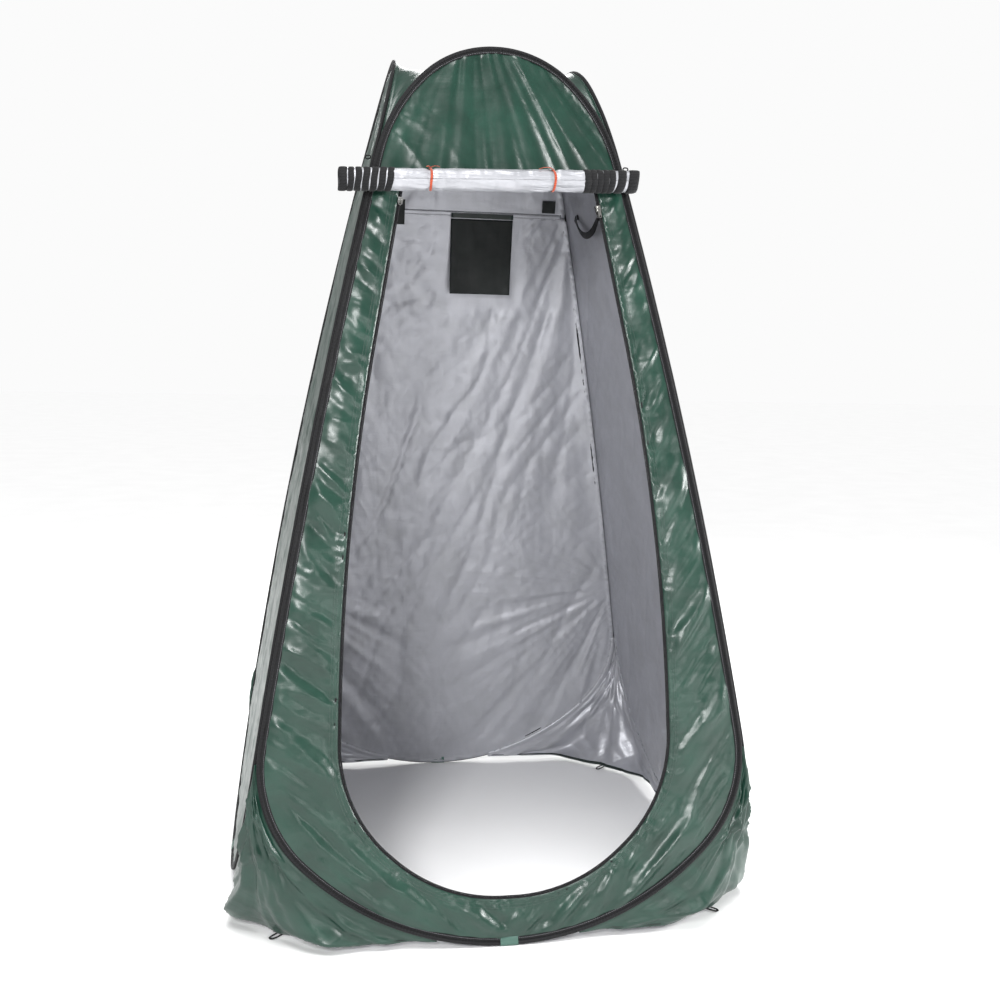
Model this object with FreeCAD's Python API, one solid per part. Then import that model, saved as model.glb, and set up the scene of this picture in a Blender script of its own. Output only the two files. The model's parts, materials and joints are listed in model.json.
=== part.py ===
"""Pop-up privacy shower tent: four spring-wire hoops, fabric walls, a roof and a rolled-up door.

Millimetres. Origin at the centre of the footprint on the ground, +Z up, the door faces -Y.
The four sides are alike, so most pieces are made once for the front and turned about Z.
"""
import FreeCAD, Part
import math
import os

V = FreeCAD.Vector
UP = V(0, 0, 1)
ORIGIN = V(0, 0, 0)
JOIN_TOLERANCE = 1e-3

# ---- driving dimensions ------------------------------------------------------------------
TOP_Z = 1900.0            # top of the arches
LOW_Z = 420.0             # neighbouring hoops part below this height
LOW_HALF = 517.0          # half width of the tent there
HIGH_Z = 1650.0           # neighbouring hoops part above this height
HIGH_HALF = 272.0         # half width of the tent there
EDGE_BULGE = 13.0         # outward bow of a wall between those two heights
HOOP_INSET = 6.0          # a hoop runs this far in from the corner line, along its own wall

ROD_R = 2.5               # spring wire of a hoop
BORE_R = 2.6              # inside of the binding's sleeve
SLEEVE_R = 3.9            # outside of the binding's sleeve
FERRULE_R = 3.4           # crimped tube that joins the two ends of the wire
FERRULE_HALF = 26.0
PATCH_R = 4.8             # patch sewn over that joint
PATCH_HALF = 19.0
TAPE_WIDTH = 12.0         # the binding's flat tape reaches this far in from the wire
TAPE_THICK = 1.8
PATCH_WIDTH = 14.0
PATCH_THICK = 3.0
FABRIC = 1.2              # wall fabric as a closed solid

HEADER_Z = 1607.0         # seam between the front cap and the door opening
BACK_SEAM_Z = 1590.0      # the same seam across the back wall

ZIP_TAPE = 12.0           # zip tape sewn round the door opening
ZIP_TAPE_THICK = 1.0
COIL_WIDTH = 3.2
COIL_THICK = 3.2
ZIP_START = V(-216, 0, HEADER_Z + 30)     # left side of the door line, from its top to its foot
ZIP_BEND = V(-275, 0, 1310)
ZIP_WAIST = V(-336, 0, 900)
ZIP_HIP = V(-362, 0, 440)
ZIP_TURN = V(-334, 0, 290)
ZIP_HEEL = V(-251, 0, 181)
ZIP_SOLE = V(-135, 0, 110)
ZIP_FOOT = V(0, 0, 88)

ROLL_R = 25.5             # door panel rolled up under the header
ROLL_Z = 1590.0
ROLL_TILT = 2.0           # degrees, its left end hangs lower
ROLL_GAP = 5.0            # between the roll and the wall behind it
ROLL_LEFT = -352.0
ROLL_LEFT_SILVER = -236.0
ROLL_RIGHT_SILVER = 177.0
ROLL_RIGHT = 299.0
TIE_XS = {"left": -157.0, "right": 111.0}
TIE_WIDTH = 6.0
TIE_THICK = 1.6
NECK_LEFT = -150.0        # the door panel comes off the roll between these and is sewn to the header
NECK_RIGHT = 104.0
NECK_RISE = 18.6
NECK_FRONT = 5.0          # from the roll's centre line
TAPE_TURNS = 7            # turns of zip tape on each end of the roll
GROOVE = 2.0
GROOVE_DEPTH = 1.2

SLIDER_Z = 1548.0         # both sliders are parked below the roll
SLIDER_TRAVEL_Z = 225.0   # drop along the straight upper stretch of the zip
SLIDER_LENGTH = 13.0
SLIDER_WIDTH = 11.0
SLIDER_HEIGHT = 9.0
CHANNEL_HALF = 2.4        # room for the coil inside a slider
CHANNEL_RISE = 2.5
TAPE_SLOT = 1.3           # half the gap that the zip tape runs through
CROWN_HALF = 1.6          # bridge that a pull's pin passes through
CROWN_REACH = 4.0
CROWN_COVER = 2.4
CROWN_HEIGHT = 2.2        # pull's pin above the slider's plate
PIN_R = 1.0
PIN_FIT = 0.08            # running clearance of the pin, on the radius
PULL_HALF = 3.6           # half width of a pull
PULL_ARM = 2.0            # inner face of its arms
PULL_NECK = 5.0           # pin to the start of its tab
PULL_THICK = 1.6
EYE_R = 2.0               # hole in the end of a pull
LEFT_TAB = 4.0            # tab lengths
OUTER_TAB = 14.0
INNER_TAB = 9.0

FLAP_X = 55.0             # centre of the flap that hangs on the back wall
FLAP_WIDTH = 165.0
FLAP_DROP = 195.0
FLAP_THICK = 1.5
FLAP_HINGE_Z = 1577.0
FLAP_OFF_WALL = 7.0       # degrees between the hanging flap and the wall
FLAP_STAND_OFF = 3.0      # hinge line to the wall's middle surface
HEM_R = 1.1
SEAM_STRIP = 12.0
TAB_WIDTH = 47.0
TAB_DROP = 62.0
TAB_LEFT_X = -197.0
TAB_LEFT_Z = 1558.0
TAB_RIGHT_X = 214.0       # the right tab is partly sewn under, so it shows shorter
TAB_RIGHT_Z = 1600.0
TAB_THICK = 1.5
SEAM_STRIP_THICK = 1.0
SEAM_STRIP_GAP = 4.0      # hinge line to the strip's lower edge

STRAP_WIDTH = 20.0        # webbing strap that hangs along the right wall
STRAP_THICK = 1.5
STRAP_BACK = V(282.5, 184.0, 1587.0)
STRAP_FRONT = V(287.5, -32.0, 1565.0)
STRAP_SAG = 62.0
STRAP_END = 14.0          # height of the strap's upright ends
ANCHOR_LENGTH = 16.0
ANCHOR_DEPTH = 14.0       # how far a sewn end may reach from the wall
WALL_EDGE_X = 310.0       # outside the right wall at the strap's height

GUSSET_HALF = 470.0       # foot of the corner gusset's seam, measured along x and y
GUSSET_FOOT_Z = 6.0
GUSSET_SPREAD = 150.0     # the gusset stops this far from the middle of each hoop's foot
GUSSET_START = 0.16       # radians of the hoop's turn between the parting and the gusset's tip
GUSSET_ROWS = 18
STAKE_LOOP = 30.0         # length of a stake loop
GUY_LOOP = 15.0           # length of a guy-line loop
GUY_LOOP_Z = 1640.0
ROOF_STEPS = 12
ROOF_THICK = 1.5
SEWN_GAP = 0.3            # between two pieces of fabric that are sewn face to face

REACH = 700.0             # further than any piece is from the centre, for cutting shapes
SLAB_HALF = 640.0         # half width of a sheet before it is cut to its outline
SLAB_PAST = 40.0          # how far it passes the tent's top and foot
OUTLINE_STEPS = 6         # points on each stretch of a hoop's outline

os.makedirs("parts", exist_ok=True)


def save(name, shape):
    """Write one piece to parts/NAME.step."""
    solid = shape.Solids[0] if len(shape.Solids) == 1 else shape
    solid.exportStep("parts/" + name + ".step")


def turned(shape, quarter_turns):
    """A copy turned about Z by quarter turns: front, right, back, left."""
    copy = shape.copy()
    copy.rotate(ORIGIN, UP, 90.0 * quarter_turns)
    return copy


# ---- the corner line and the wall profile ------------------------------------------------
def circle_through(a, b, c):
    """Centre (x, z) and radius of the circle through three (x, z) points."""
    arc = Part.Arc(V(a[0], 0, a[1]), V(b[0], 0, b[1]), V(c[0], 0, c[1]))
    circle = arc.toShape().Curve
    return circle.Center.x, circle.Center.z, circle.Radius


ROOT2 = math.sqrt(2.0)
CHORD = math.hypot(LOW_HALF - HIGH_HALF, HIGH_Z - LOW_Z)
MID_HALF = (LOW_HALF + HIGH_HALF) / 2 + EDGE_BULGE * (HIGH_Z - LOW_Z) / CHORD
MID_Z = (LOW_Z + HIGH_Z) / 2 + EDGE_BULGE * (LOW_HALF - HIGH_HALF) / CHORD
# The corner line is a circular arc in the diagonal plane, so a hoop's side is one too.
DIAGONAL_X, DIAGONAL_Z, DIAGONAL_R = circle_through(
    (ROOT2 * LOW_HALF, LOW_Z), (ROOT2 * MID_HALF, MID_Z), (ROOT2 * HIGH_HALF, HIGH_Z))


def corner_half(z):
    """Half width of the tent at a height between the two partings."""
    return (DIAGONAL_X + math.sqrt(DIAGONAL_R ** 2 - (z - DIAGONAL_Z) ** 2)) / ROOT2


def corner_slope(z):
    """Change of that half width with height."""
    return -(z - DIAGONAL_Z) / math.sqrt(DIAGONAL_R ** 2 - (z - DIAGONAL_Z) ** 2) / ROOT2


LOW_SLOPE = corner_slope(LOW_Z)
HIGH_SLOPE = corner_slope(HIGH_Z)


def wall_half(z):
    """Distance from the centre plane to a wall at any height; straight below and above."""
    if z < LOW_Z:
        return LOW_HALF + LOW_SLOPE * (z - LOW_Z)
    if z > HIGH_Z:
        return HIGH_HALF + HIGH_SLOPE * (z - HIGH_Z)
    return corner_half(z)


def wall_slope(z):
    """Change of that distance with height."""
    return corner_slope(min(max(z, LOW_Z), HIGH_Z))


def on_front(x, z):
    """Point of the front wall's middle surface."""
    return V(x, -wall_half(z), z)


def wall_normal(z):
    """Unit normal of the front wall, pointing out of the tent."""
    return V(0, -1, -wall_slope(z)).normalize()


# ---- the hoop's line ---------------------------------------------------------------------
SPLIT = math.radians(45.0)   # heading at which a round end changes radius
JUST_BEFORE_SPLIT = SPLIT - 1e-9


def two_radii(across, along, heading):
    """Radii of the two tangent arcs that turn from a heading to level over a given run."""
    near_a, near_b = math.cos(heading) - math.cos(SPLIT), math.cos(SPLIT)
    far_a, far_b = math.sin(SPLIT) - math.sin(heading), 1 - math.sin(SPLIT)
    det = near_a * far_b - near_b * far_a
    return (across * far_b - near_b * along) / det, (near_a * along - across * far_a) / det


class RoundEnd:
    """The arched top or the rounded bottom of a hoop, measured in its own wall."""

    def __init__(self, half, z, end_z, slope):
        self.half, self.z = half, z
        self.stretch = math.hypot(1, slope)          # distance up the wall per unit of height
        self.way = 1 if end_z > z else -1
        self.along = abs(end_z - z) * self.stretch
        self.heading = math.atan(-slope / self.stretch) * self.way
        self.near_r, self.far_r = two_radii(half, self.along, self.heading)

    def at(self, angle, inset=0.0):
        """(x, z) on the left half, where the line's heading is angle."""
        cos, sin = math.cos(angle), math.sin(angle)
        if angle < SPLIT:
            near = self.near_r - inset
            x = self.half - self.near_r * math.cos(self.heading) + near * cos
            rise = -self.near_r * math.sin(self.heading) + near * sin
        else:
            far = self.far_r - inset
            x = far * cos
            rise = self.along - self.far_r + far * sin
        return -x, self.z + self.way * rise / self.stretch


FOOT_END_Z = PATCH_R
TOP = RoundEnd(HIGH_HALF - HOOP_INSET, HIGH_Z, TOP_Z - SLEEVE_R, HIGH_SLOPE)
FOOT = RoundEnd(LOW_HALF - HOOP_INSET, LOW_Z, FOOT_END_Z, LOW_SLOPE)


def arc_on_front(points):
    """Arc through three (x, z) points of the front wall."""
    return Part.Arc(*[on_front(*p) for p in points]).toShape()


def mirrored(points):
    """The same (x, z) points on the right half, still in order round the hoop."""
    return [(-x, z) for x, z in reversed(points)]


def end_arcs(end):
    """The three arcs of a round end, from its left to its right."""
    near = [end.at(a) for a in (end.heading, (end.heading + SPLIT) / 2, JUST_BEFORE_SPLIT)]
    crown = [end.at(SPLIT), end.at(math.pi / 2), (-end.at(SPLIT)[0], end.at(SPLIT)[1])]
    return [arc_on_front(near), arc_on_front(crown), arc_on_front(mirrored(near))]


def side_arc():
    """The left side of the front hoop, just inside the corner line."""
    return [(-(corner_half(z) - HOOP_INSET), z) for z in (LOW_Z, MID_Z, HIGH_Z)]


HOOP_SIDES = [arc_on_front(side_arc()), arc_on_front(mirrored(side_arc()))]
HOOP_FEET = end_arcs(FOOT)
FOOT_CROWN = HOOP_FEET[1]
HOOP_ARCS = end_arcs(TOP) + HOOP_FEET + HOOP_SIDES


def disc(centre, normal, radius):
    """Flat round face."""
    return Part.Face(Part.Wire(Part.Circle(centre, normal, radius).toShape()))


def tube_on_arc(arc, radius, bore=0.0, first=None, last=None):
    """Round bar or tube along one arc, or along a stretch of it."""
    first = arc.FirstParameter if first is None else first
    last = arc.LastParameter if last is None else last
    circle = arc.Curve
    start = circle.value(first)
    tangent = circle.tangent(first)[0]
    section = disc(start, tangent, radius)
    if bore:
        section = section.cut(disc(start, tangent, bore)).Faces[0]
    return section.revolve(circle.Center, circle.Axis, math.degrees(last - first))


def hoop_bar(radius):
    """Closed round bar along the whole front hoop."""
    bars = [tube_on_arc(arc, radius) for arc in HOOP_ARCS]
    return bars[0].multiFuse(bars[1:], JOIN_TOLERANCE)


def foot_stretch(half):
    """Parameters on the hoop's foot at the two ends of its middle stretch."""
    middle = (FOOT_CROWN.FirstParameter + FOOT_CROWN.LastParameter) / 2
    reach = half / FOOT_CROWN.Curve.Radius
    return middle - reach, middle + reach


def foot_bar(radius, half, bore=0.0):
    """Short round bar or tube along the bottom of the front hoop, centred on x = 0."""
    return tube_on_arc(FOOT_CROWN, radius, bore, *foot_stretch(half))


def make_sleeve():
    """Fabric tube round the wire, wider inside where the ferrule sits."""
    tubes = [tube_on_arc(arc, SLEEVE_R, BORE_R) for arc in HOOP_ARCS if arc is not FOOT_CROWN]
    first, last = foot_stretch(FERRULE_HALF)
    tubes.append(tube_on_arc(FOOT_CROWN, SLEEVE_R, BORE_R, last=first))
    tubes.append(tube_on_arc(FOOT_CROWN, SLEEVE_R, FERRULE_R, first, last))
    tubes.append(tube_on_arc(FOOT_CROWN, SLEEVE_R, BORE_R, first=last))
    return tubes[0].multiFuse(tubes[1:], JOIN_TOLERANCE)


def hoop_outline(inset):
    """The front hoop in the XZ plane, moved inwards by inset along the wall: eight stretches."""
    def turn(end, first, last):
        turns = [first + (last - first) * i / OUTLINE_STEPS for i in range(OUTLINE_STEPS + 1)]
        return [end.at(angle, inset) for angle in turns]

    crown = turn(TOP, SPLIT, math.pi / 2)
    foot_crown = turn(FOOT, SPLIT, math.pi / 2)
    side = []
    for i in range(OUTLINE_STEPS + 1):
        z = HIGH_Z + (LOW_Z - HIGH_Z) * i / OUTLINE_STEPS
        lean = math.hypot(1, corner_slope(z) / math.hypot(1, corner_slope(z)))
        side.append((-(corner_half(z) - HOOP_INSET) + inset * lean, z))
    shoulder = turn(TOP, TOP.heading, JUST_BEFORE_SPLIT)
    hip = turn(FOOT, FOOT.heading, JUST_BEFORE_SPLIT)
    side[0], side[-1] = shoulder[0], hip[0]
    shoulder[-1], hip[-1] = crown[0], foot_crown[0]
    left = [shoulder, side, hip]
    whole_crowns = [crown + mirrored(crown)[1:], foot_crown + mirrored(foot_crown)[1:]]
    return left + [mirrored(stretch) for stretch in left] + whole_crowns


def prism(face_xz):
    """Extrude an outline in the XZ plane along -Y, through the front wall."""
    return face_xz.extrude(V(0, -REACH, 0))


def outline_prism(inset):
    """Room inside the front hoop's outline, moved inwards, and right through the wall."""
    edges = []
    for stretch in hoop_outline(inset):
        curve = Part.BSplineCurve()
        curve.interpolate([V(x, 0, z) for x, z in stretch])
        edges.append(curve.toShape())
    return prism(Part.Face(Part.Wire(Part.__sortEdges__(edges))))


def box(x0, x1, y0, y1, z0, z1):
    """Block between pairs of coordinates."""
    return Part.makeBox(x1 - x0, y1 - y0, z1 - z0, V(x0, y0, z0))


# ---- sheets that follow the wall -----------------------------------------------------------
def wall_slab(thick, offset=0.0):
    """A sheet of the front wall, centred offset outside its middle surface."""
    def edge(off):
        heights = (-SLAB_PAST, LOW_Z, MID_Z, HIGH_Z, TOP_Z + SLAB_PAST)
        return [on_front(-SLAB_HALF, z) + wall_normal(z) * off for z in heights]

    inner, outer = edge(offset - thick / 2), edge(offset + thick / 2)
    edges = []
    for pts in (inner, outer):
        edges.append(Part.makeLine(pts[0], pts[1]))
        edges.append(Part.Arc(pts[1], pts[2], pts[3]).toShape())
        edges.append(Part.makeLine(pts[3], pts[4]))
    edges.append(Part.makeLine(inner[0], outer[0]))
    edges.append(Part.makeLine(inner[4], outer[4]))
    face = Part.Face(Part.Wire(Part.__sortEdges__(edges)))
    return face.extrude(V(2 * SLAB_HALF, 0, 0))


def above(z):
    """Room above a height, round the front wall."""
    return box(-REACH, REACH, -REACH, 0, z, TOP_Z + 2 * SLAB_PAST)


# ---- the door opening ----------------------------------------------------------------------
def door_wire():
    """Line of the zip in the XZ plane: straight sides that widen downwards, rounded foot."""
    left = [Part.makeLine(ZIP_START, ZIP_BEND)]
    left.append(Part.Arc(ZIP_BEND, ZIP_WAIST, ZIP_HIP).toShape())
    left.append(Part.Arc(ZIP_HIP, ZIP_TURN, ZIP_HEEL).toShape())
    left.append(Part.Arc(ZIP_HEEL, ZIP_SOLE, ZIP_FOOT).toShape())
    right = [edge.mirror(ORIGIN, V(1, 0, 0)) for edge in left]
    lid = Part.makeLine(ZIP_START, V(-ZIP_START.x, 0, ZIP_START.z))
    return Part.Wire(Part.__sortEdges__(left + right + [lid]))


def door_prism(shrink=0.0):
    """Room inside the door line, moved inwards, and right through the wall."""
    wire = door_wire()
    if shrink:
        wire = wire.makeOffset2D(-shrink)
    return prism(Part.Face(wire))


# ---- hoops, bindings and walls -------------------------------------------------------------
SIDES = {"front": 0, "right": 1, "back": 2, "left": 3}


def make_seam_tape(field):
    """Flat tape beside the wire's sleeve, that the wall fabric is sewn to."""
    return wall_slab(TAPE_THICK).common(outline_prism(SLEEVE_R + SEWN_GAP).cut(field))


def make_patch(seam_tape):
    """Patch folded over the binding where the wire's ends meet."""
    strip = outline_prism(0.0).cut(outline_prism(PATCH_WIDTH))
    flat = wall_slab(PATCH_THICK).common(strip)
    flat = flat.common(box(-PATCH_HALF, PATCH_HALF, -REACH, 0, -SLAB_PAST, SLAB_PAST))
    sleeve = foot_bar(SLEEVE_R, FERRULE_HALF)
    return foot_bar(PATCH_R, PATCH_HALF).fuse(flat).cut(seam_tape).cut(sleeve)


def build_hoops(field):
    """Wire, ferrule, sleeve, seam tape and patch of each side."""
    seam_tape = make_seam_tape(field)
    patch = make_patch(seam_tape)
    wire = hoop_bar(ROD_R)
    sleeve = make_sleeve()
    ferrule = foot_bar(FERRULE_R, FERRULE_HALF, ROD_R)
    for side, turns in SIDES.items():
        save("hoop_" + side, turned(wire, turns))
        save("ferrule_" + side, turned(ferrule, turns))
        save("binding_" + side, turned(sleeve, turns))
        save("seam_tape_" + side, turned(seam_tape, turns))
        save("binding_patch_" + side, turned(patch, turns))


def build_walls(field):
    """Fabric inside each hoop; the front and the back are in two pieces, with a seam between."""
    half = PATCH_HALF + 1
    patch_room = box(-half, half, -REACH, 0, -SLAB_PAST, FOOT_END_Z + PATCH_WIDTH + 1)
    wall = wall_slab(FABRIC).common(field).cut(patch_room)
    front_cap = wall.common(above(HEADER_Z))
    front_strip = wall.cut(above(HEADER_Z)).cut(door_prism())
    save("cap_front", front_cap)
    save("wall_front", front_strip)
    save("cap_back", turned(wall.common(above(BACK_SEAM_Z)), SIDES["back"]))
    save("wall_back", turned(wall.cut(above(BACK_SEAM_Z)), SIDES["back"]))
    for side in ("left", "right"):
        save("wall_" + side, turned(wall, SIDES[side]))


# ---- roof and corner gussets ---------------------------------------------------------------
def sheet_from_grid(rows, push):
    """Closed sheet: a smooth surface through a grid of points, thickened by a straight push."""
    surface = Part.BSplineSurface()
    surface.interpolate(rows)
    return surface.toShape().extrude(push)


def arch_point(fraction):
    """Where the roof meets the front arch; fraction runs 0 to 1 from left to right."""
    angle = TOP.heading + (math.pi / 2 - TOP.heading) * (1 - abs(2 * fraction - 1))
    x, z = TOP.at(angle)
    side = 1 if fraction <= 0.5 else -1
    return V(side * x, -wall_half(z) + HOOP_INSET, z)


def build_roof():
    """Fabric stretched between the four arches, like a soap film."""
    n = ROOF_STEPS
    turn = FreeCAD.Rotation(UP, 90)
    grid = [[V(0, 0, TOP_Z - 80) for _ in range(n + 1)] for _ in range(n + 1)]
    for i in range(n + 1):
        front = arch_point(i / n)
        grid[i][0] = front
        grid[n][i] = turn.multVec(front)
        grid[n - i][n] = turn.multVec(grid[n][i])
        grid[0][n - i] = turn.multVec(grid[n - i][n])
    for _ in range(300):
        for i in range(1, n):
            for j in range(1, n):
                around = grid[i - 1][j] + grid[i + 1][j] + grid[i][j - 1] + grid[i][j + 1]
                grid[i][j] = around / 4
    save("roof", sheet_from_grid(grid, V(0, 0, -ROOF_THICK)))


def gusset_row(drop):
    """One row of a corner gusset, from the front hoop to the left one; drop runs 0 to 1."""
    first = FOOT.heading + GUSSET_START
    last = math.acos(GUSSET_SPREAD / FOOT.far_r)
    angle = first + (last - first) * drop
    x, z = FOOT.at(angle)
    clear = SLEEVE_R + 3.0
    start = V(x - clear * math.cos(angle), -wall_half(z), z - clear * math.sin(angle))
    end = V(start.y, start.x, start.z)
    seam_half = wall_half(z) + (GUSSET_HALF - wall_half(0)) * drop ** 2
    top_z, foot_z = FOOT.at(first)[1], FOOT.at(last)[1]
    seam_z = GUSSET_FOOT_Z + (z - foot_z) * (top_z - GUSSET_FOOT_Z) / (top_z - foot_z)
    seam = V(-seam_half, -seam_half, seam_z)
    bend = seam * 2 - (start + end) * 0.5
    row = []
    for i in range(9):
        t = i / 8
        row.append(start * (1 - t) ** 2 + bend * (2 * t * (1 - t)) + end * t ** 2)
    return row


def build_gussets():
    """Loose fabric and a stake loop at each bottom corner."""
    rows = [gusset_row(i / GUSSET_ROWS) for i in range(GUSSET_ROWS + 1)]
    gusset = sheet_from_grid(rows, V(-1, -1, 0) * (ROOF_THICK / ROOT2))
    corners = ("front_left", "front_right", "back_right", "back_left")
    loop = stake_loop()
    for turns, corner in enumerate(corners):
        save("gusset_" + corner, turned(gusset, turns))
        save("stake_loop_" + corner, turned(loop, turns))


def oblong(length, width, thick):
    """Flat plate with round ends, centred, along X."""
    straight = length - width
    plate = box(-straight / 2, straight / 2, -width / 2, width / 2, -thick / 2, thick / 2)
    for x in (-straight / 2, straight / 2):
        plate = plate.fuse(Part.makeCylinder(width / 2, thick, V(x, 0, -thick / 2)))
    return plate


def stake_loop():
    """Webbing loop on the ground at the front left corner."""
    loop = oblong(STAKE_LOOP, 20, 2).cut(oblong(STAKE_LOOP - 8, 12, 4))
    loop.rotate(ORIGIN, UP, 45)
    out = GUSSET_HALF + (STAKE_LOOP / 2 + 2) / ROOT2
    loop.translate(V(-out, -out, 3))
    return loop


def build_guy_loops():
    """Small loops on the side hoops, near the top of each corner, for guy lines."""
    loop = oblong(GUY_LOOP, 11, 2).cut(oblong(GUY_LOOP - 6, 5, 4))
    loop.rotate(ORIGIN, V(1, 0, 0), 90)
    half = wall_half(GUY_LOOP_Z)
    loop.translate(V(-half - SLEEVE_R - SEWN_GAP - GUY_LOOP / 2, -half + HOOP_INSET, GUY_LOOP_Z))
    for name, mirror_x, mirror_y in (
            ("front_left", False, False), ("front_right", True, False),
            ("back_left", False, True), ("back_right", True, True)):
        copy = loop
        if mirror_x:
            copy = copy.mirror(ORIGIN, V(1, 0, 0))
        if mirror_y:
            copy = copy.mirror(ORIGIN, V(0, 1, 0))
        save("guy_loop_" + name, copy)


# ---- the zip and the rolled-up door --------------------------------------------------------
def build_zip():
    """Zip tape along the door line, with the coil on its inner edge."""
    below = box(-REACH, REACH, -REACH, 0, 0, HEADER_Z)
    line = door_prism()
    inner = door_prism(ZIP_TAPE)
    clear = door_prism(ZIP_TAPE + COIL_WIDTH)
    save("zip_tape", wall_slab(ZIP_TAPE_THICK).common(line.cut(inner)).common(below))
    save("zip_coil", wall_slab(COIL_THICK).common(inner.cut(clear)).common(below))


def zip_point(z):
    """Centre of the coil on the straight upper stretch of the left side."""
    slope = (ZIP_START.x - ZIP_BEND.x) / (ZIP_START.z - ZIP_BEND.z)
    line_x = ZIP_START.x - slope * (ZIP_START.z - z)
    inwards = (ZIP_TAPE + COIL_WIDTH / 2) * math.hypot(1, slope)
    return on_front(line_x + inwards, z)


def zip_frame():
    """Where the left slider sits: its origin, the way down the zip and the way out."""
    top, foot = zip_point(SLIDER_Z), zip_point(SLIDER_Z - SLIDER_TRAVEL_Z)
    return top, (foot - top).normalize(), wall_normal(SLIDER_Z - SLIDER_TRAVEL_Z / 2)


def on_zip(shape):
    """Move a piece from its own frame (X to the opening, Y up the zip, Z out) to the left zip."""
    origin, down, out = zip_frame()
    up = down * -1
    across = up.cross(out)
    out = across.cross(up)
    matrix = FreeCAD.Matrix(
        across.x, up.x, out.x, origin.x,
        across.y, up.y, out.y, origin.y,
        across.z, up.z, out.z, origin.z,
        0, 0, 0, 1)
    shape.Placement = FreeCAD.Placement(matrix).multiply(shape.Placement)
    return shape


PIN_Z = SLIDER_HEIGHT / 2 + CROWN_HEIGHT     # pin of the pull above the coil's centre


def crown(way):
    """Bridge on the slider's plate that the pull's pin passes through."""
    foot = SLIDER_HEIGHT / 2 - 0.5
    block = box(-CROWN_HALF, CROWN_HALF, -CROWN_REACH, CROWN_REACH, foot, PIN_Z + CROWN_COVER)
    block = block.cut(Part.makeCylinder(PIN_R + PIN_FIT, 10, V(-5, 0, PIN_Z), V(1, 0, 0)))
    if way < 0:
        block.rotate(ORIGIN, V(0, 1, 0), 180)
    return block


def make_slider(crowns):
    """Zip slider: two plates joined on the open side, with a channel for the coil."""
    w, l, h = SLIDER_WIDTH / 2, SLIDER_LENGTH / 2, SLIDER_HEIGHT / 2
    body = box(-w, w, -l, l, -h, h)
    channel = box(-CHANNEL_HALF, CHANNEL_HALF, -l - 1, l + 1, -CHANNEL_RISE, CHANNEL_RISE)
    slot = box(-w - 1, 0, -l - 1, l + 1, -TAPE_SLOT, TAPE_SLOT)
    body = body.cut(channel).cut(slot)
    for way in crowns:
        body = body.fuse(crown(way))
    return on_zip(body)


def make_pull(tab_length, way=1):
    """Pull that swings on a pin through the crown: two arms and a tab with an eye."""
    low, high = PIN_Z - PULL_THICK / 2, PIN_Z + PULL_THICK / 2
    end = -PULL_NECK - tab_length
    pull = Part.makeCylinder(PIN_R, 2 * PULL_HALF, V(-PULL_HALF, 0, PIN_Z), V(1, 0, 0))
    for x0, x1 in ((-PULL_HALF, -PULL_ARM), (PULL_ARM, PULL_HALF)):
        pull = pull.fuse(box(x0, x1, -PULL_NECK - 1, PULL_THICK / 2, low, high))
    tab = box(-PULL_HALF, PULL_HALF, end, -PULL_NECK, low, high)
    tab = tab.fuse(Part.makeCylinder(PULL_HALF, PULL_THICK, V(0, end, low)))
    tab = tab.cut(Part.makeCylinder(EYE_R, 2 * PULL_THICK, V(0, end, low - PULL_THICK / 2)))
    pull = pull.fuse(tab)
    if way < 0:
        pull.rotate(ORIGIN, V(0, 1, 0), 180)
    return on_zip(pull)


def to_right(shape):
    """The same piece on the right side."""
    return shape.mirror(ORIGIN, V(1, 0, 0))


def build_sliders():
    """Two sliders; the left one has a pull outside, the right one a pull on each face."""
    save("zip_slider_left", make_slider([1]))
    save("zip_pull_left", make_pull(LEFT_TAB))
    save("zip_slider_right", to_right(make_slider([1, -1])))
    save("zip_pull_right_outer", to_right(make_pull(OUTER_TAB)))
    save("zip_pull_right_inner", to_right(make_pull(INNER_TAB, -1)))


ROLL_LIFT = math.tan(math.radians(ROLL_TILT))
ROLL_WAY = V(1, -wall_slope(ROLL_Z) * ROLL_LIFT, ROLL_LIFT)
ROLL_OUT = ROLL_GAP + FABRIC / 2 + ROLL_R


def roll_axis(x):
    """Point of the roll's centre line; the roll lies parallel to the wall."""
    middle = on_front(0, ROLL_Z) + wall_normal(ROLL_Z) * ROLL_OUT
    return middle + ROLL_WAY * x


def round_along_roll(x0, x1, radius):
    """Cylinder on the roll's centre line."""
    start, end = roll_axis(x0), roll_axis(x1)
    return Part.makeCylinder(radius, (end - start).Length, start, end - start)


def ring_along_roll(x, half, outer, inner):
    """Ring round the roll, centred on x."""
    hole = round_along_roll(x - 2 * half, x + 2 * half, inner)
    return round_along_roll(x - half, x + half, outer).cut(hole)


def wall_face_y(z):
    """The front wall's outer face, less the gap of a sewn seam."""
    return -wall_half(z) - FABRIC / 2 - SEWN_GAP


def build_door():
    """Door panel rolled up and tied under the header, with the zip tape wound on its ends."""
    neck_z = ROLL_Z + NECK_RISE
    neck_y = roll_axis(0).y + NECK_FRONT
    neck = box(NECK_LEFT, NECK_RIGHT, neck_y, wall_face_y(neck_z), neck_z, neck_z + FABRIC)
    roll = round_along_roll(ROLL_LEFT_SILVER, ROLL_RIGHT_SILVER, ROLL_R)
    save("door_roll", roll.fuse(neck))
    spans = {"left": (ROLL_LEFT, ROLL_LEFT_SILVER), "right": (ROLL_RIGHT_SILVER, ROLL_RIGHT)}
    for side, (x0, x1) in spans.items():
        wound = round_along_roll(x0, x1, ROLL_R)
        for i in range(1, TAPE_TURNS):
            x = x0 + (x1 - x0) * i / TAPE_TURNS
            wound = wound.cut(ring_along_roll(x, GROOVE / 2, ROLL_R + 1, ROLL_R - GROOVE_DEPTH))
        save("door_tape_wound_" + side, wound)


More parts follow.
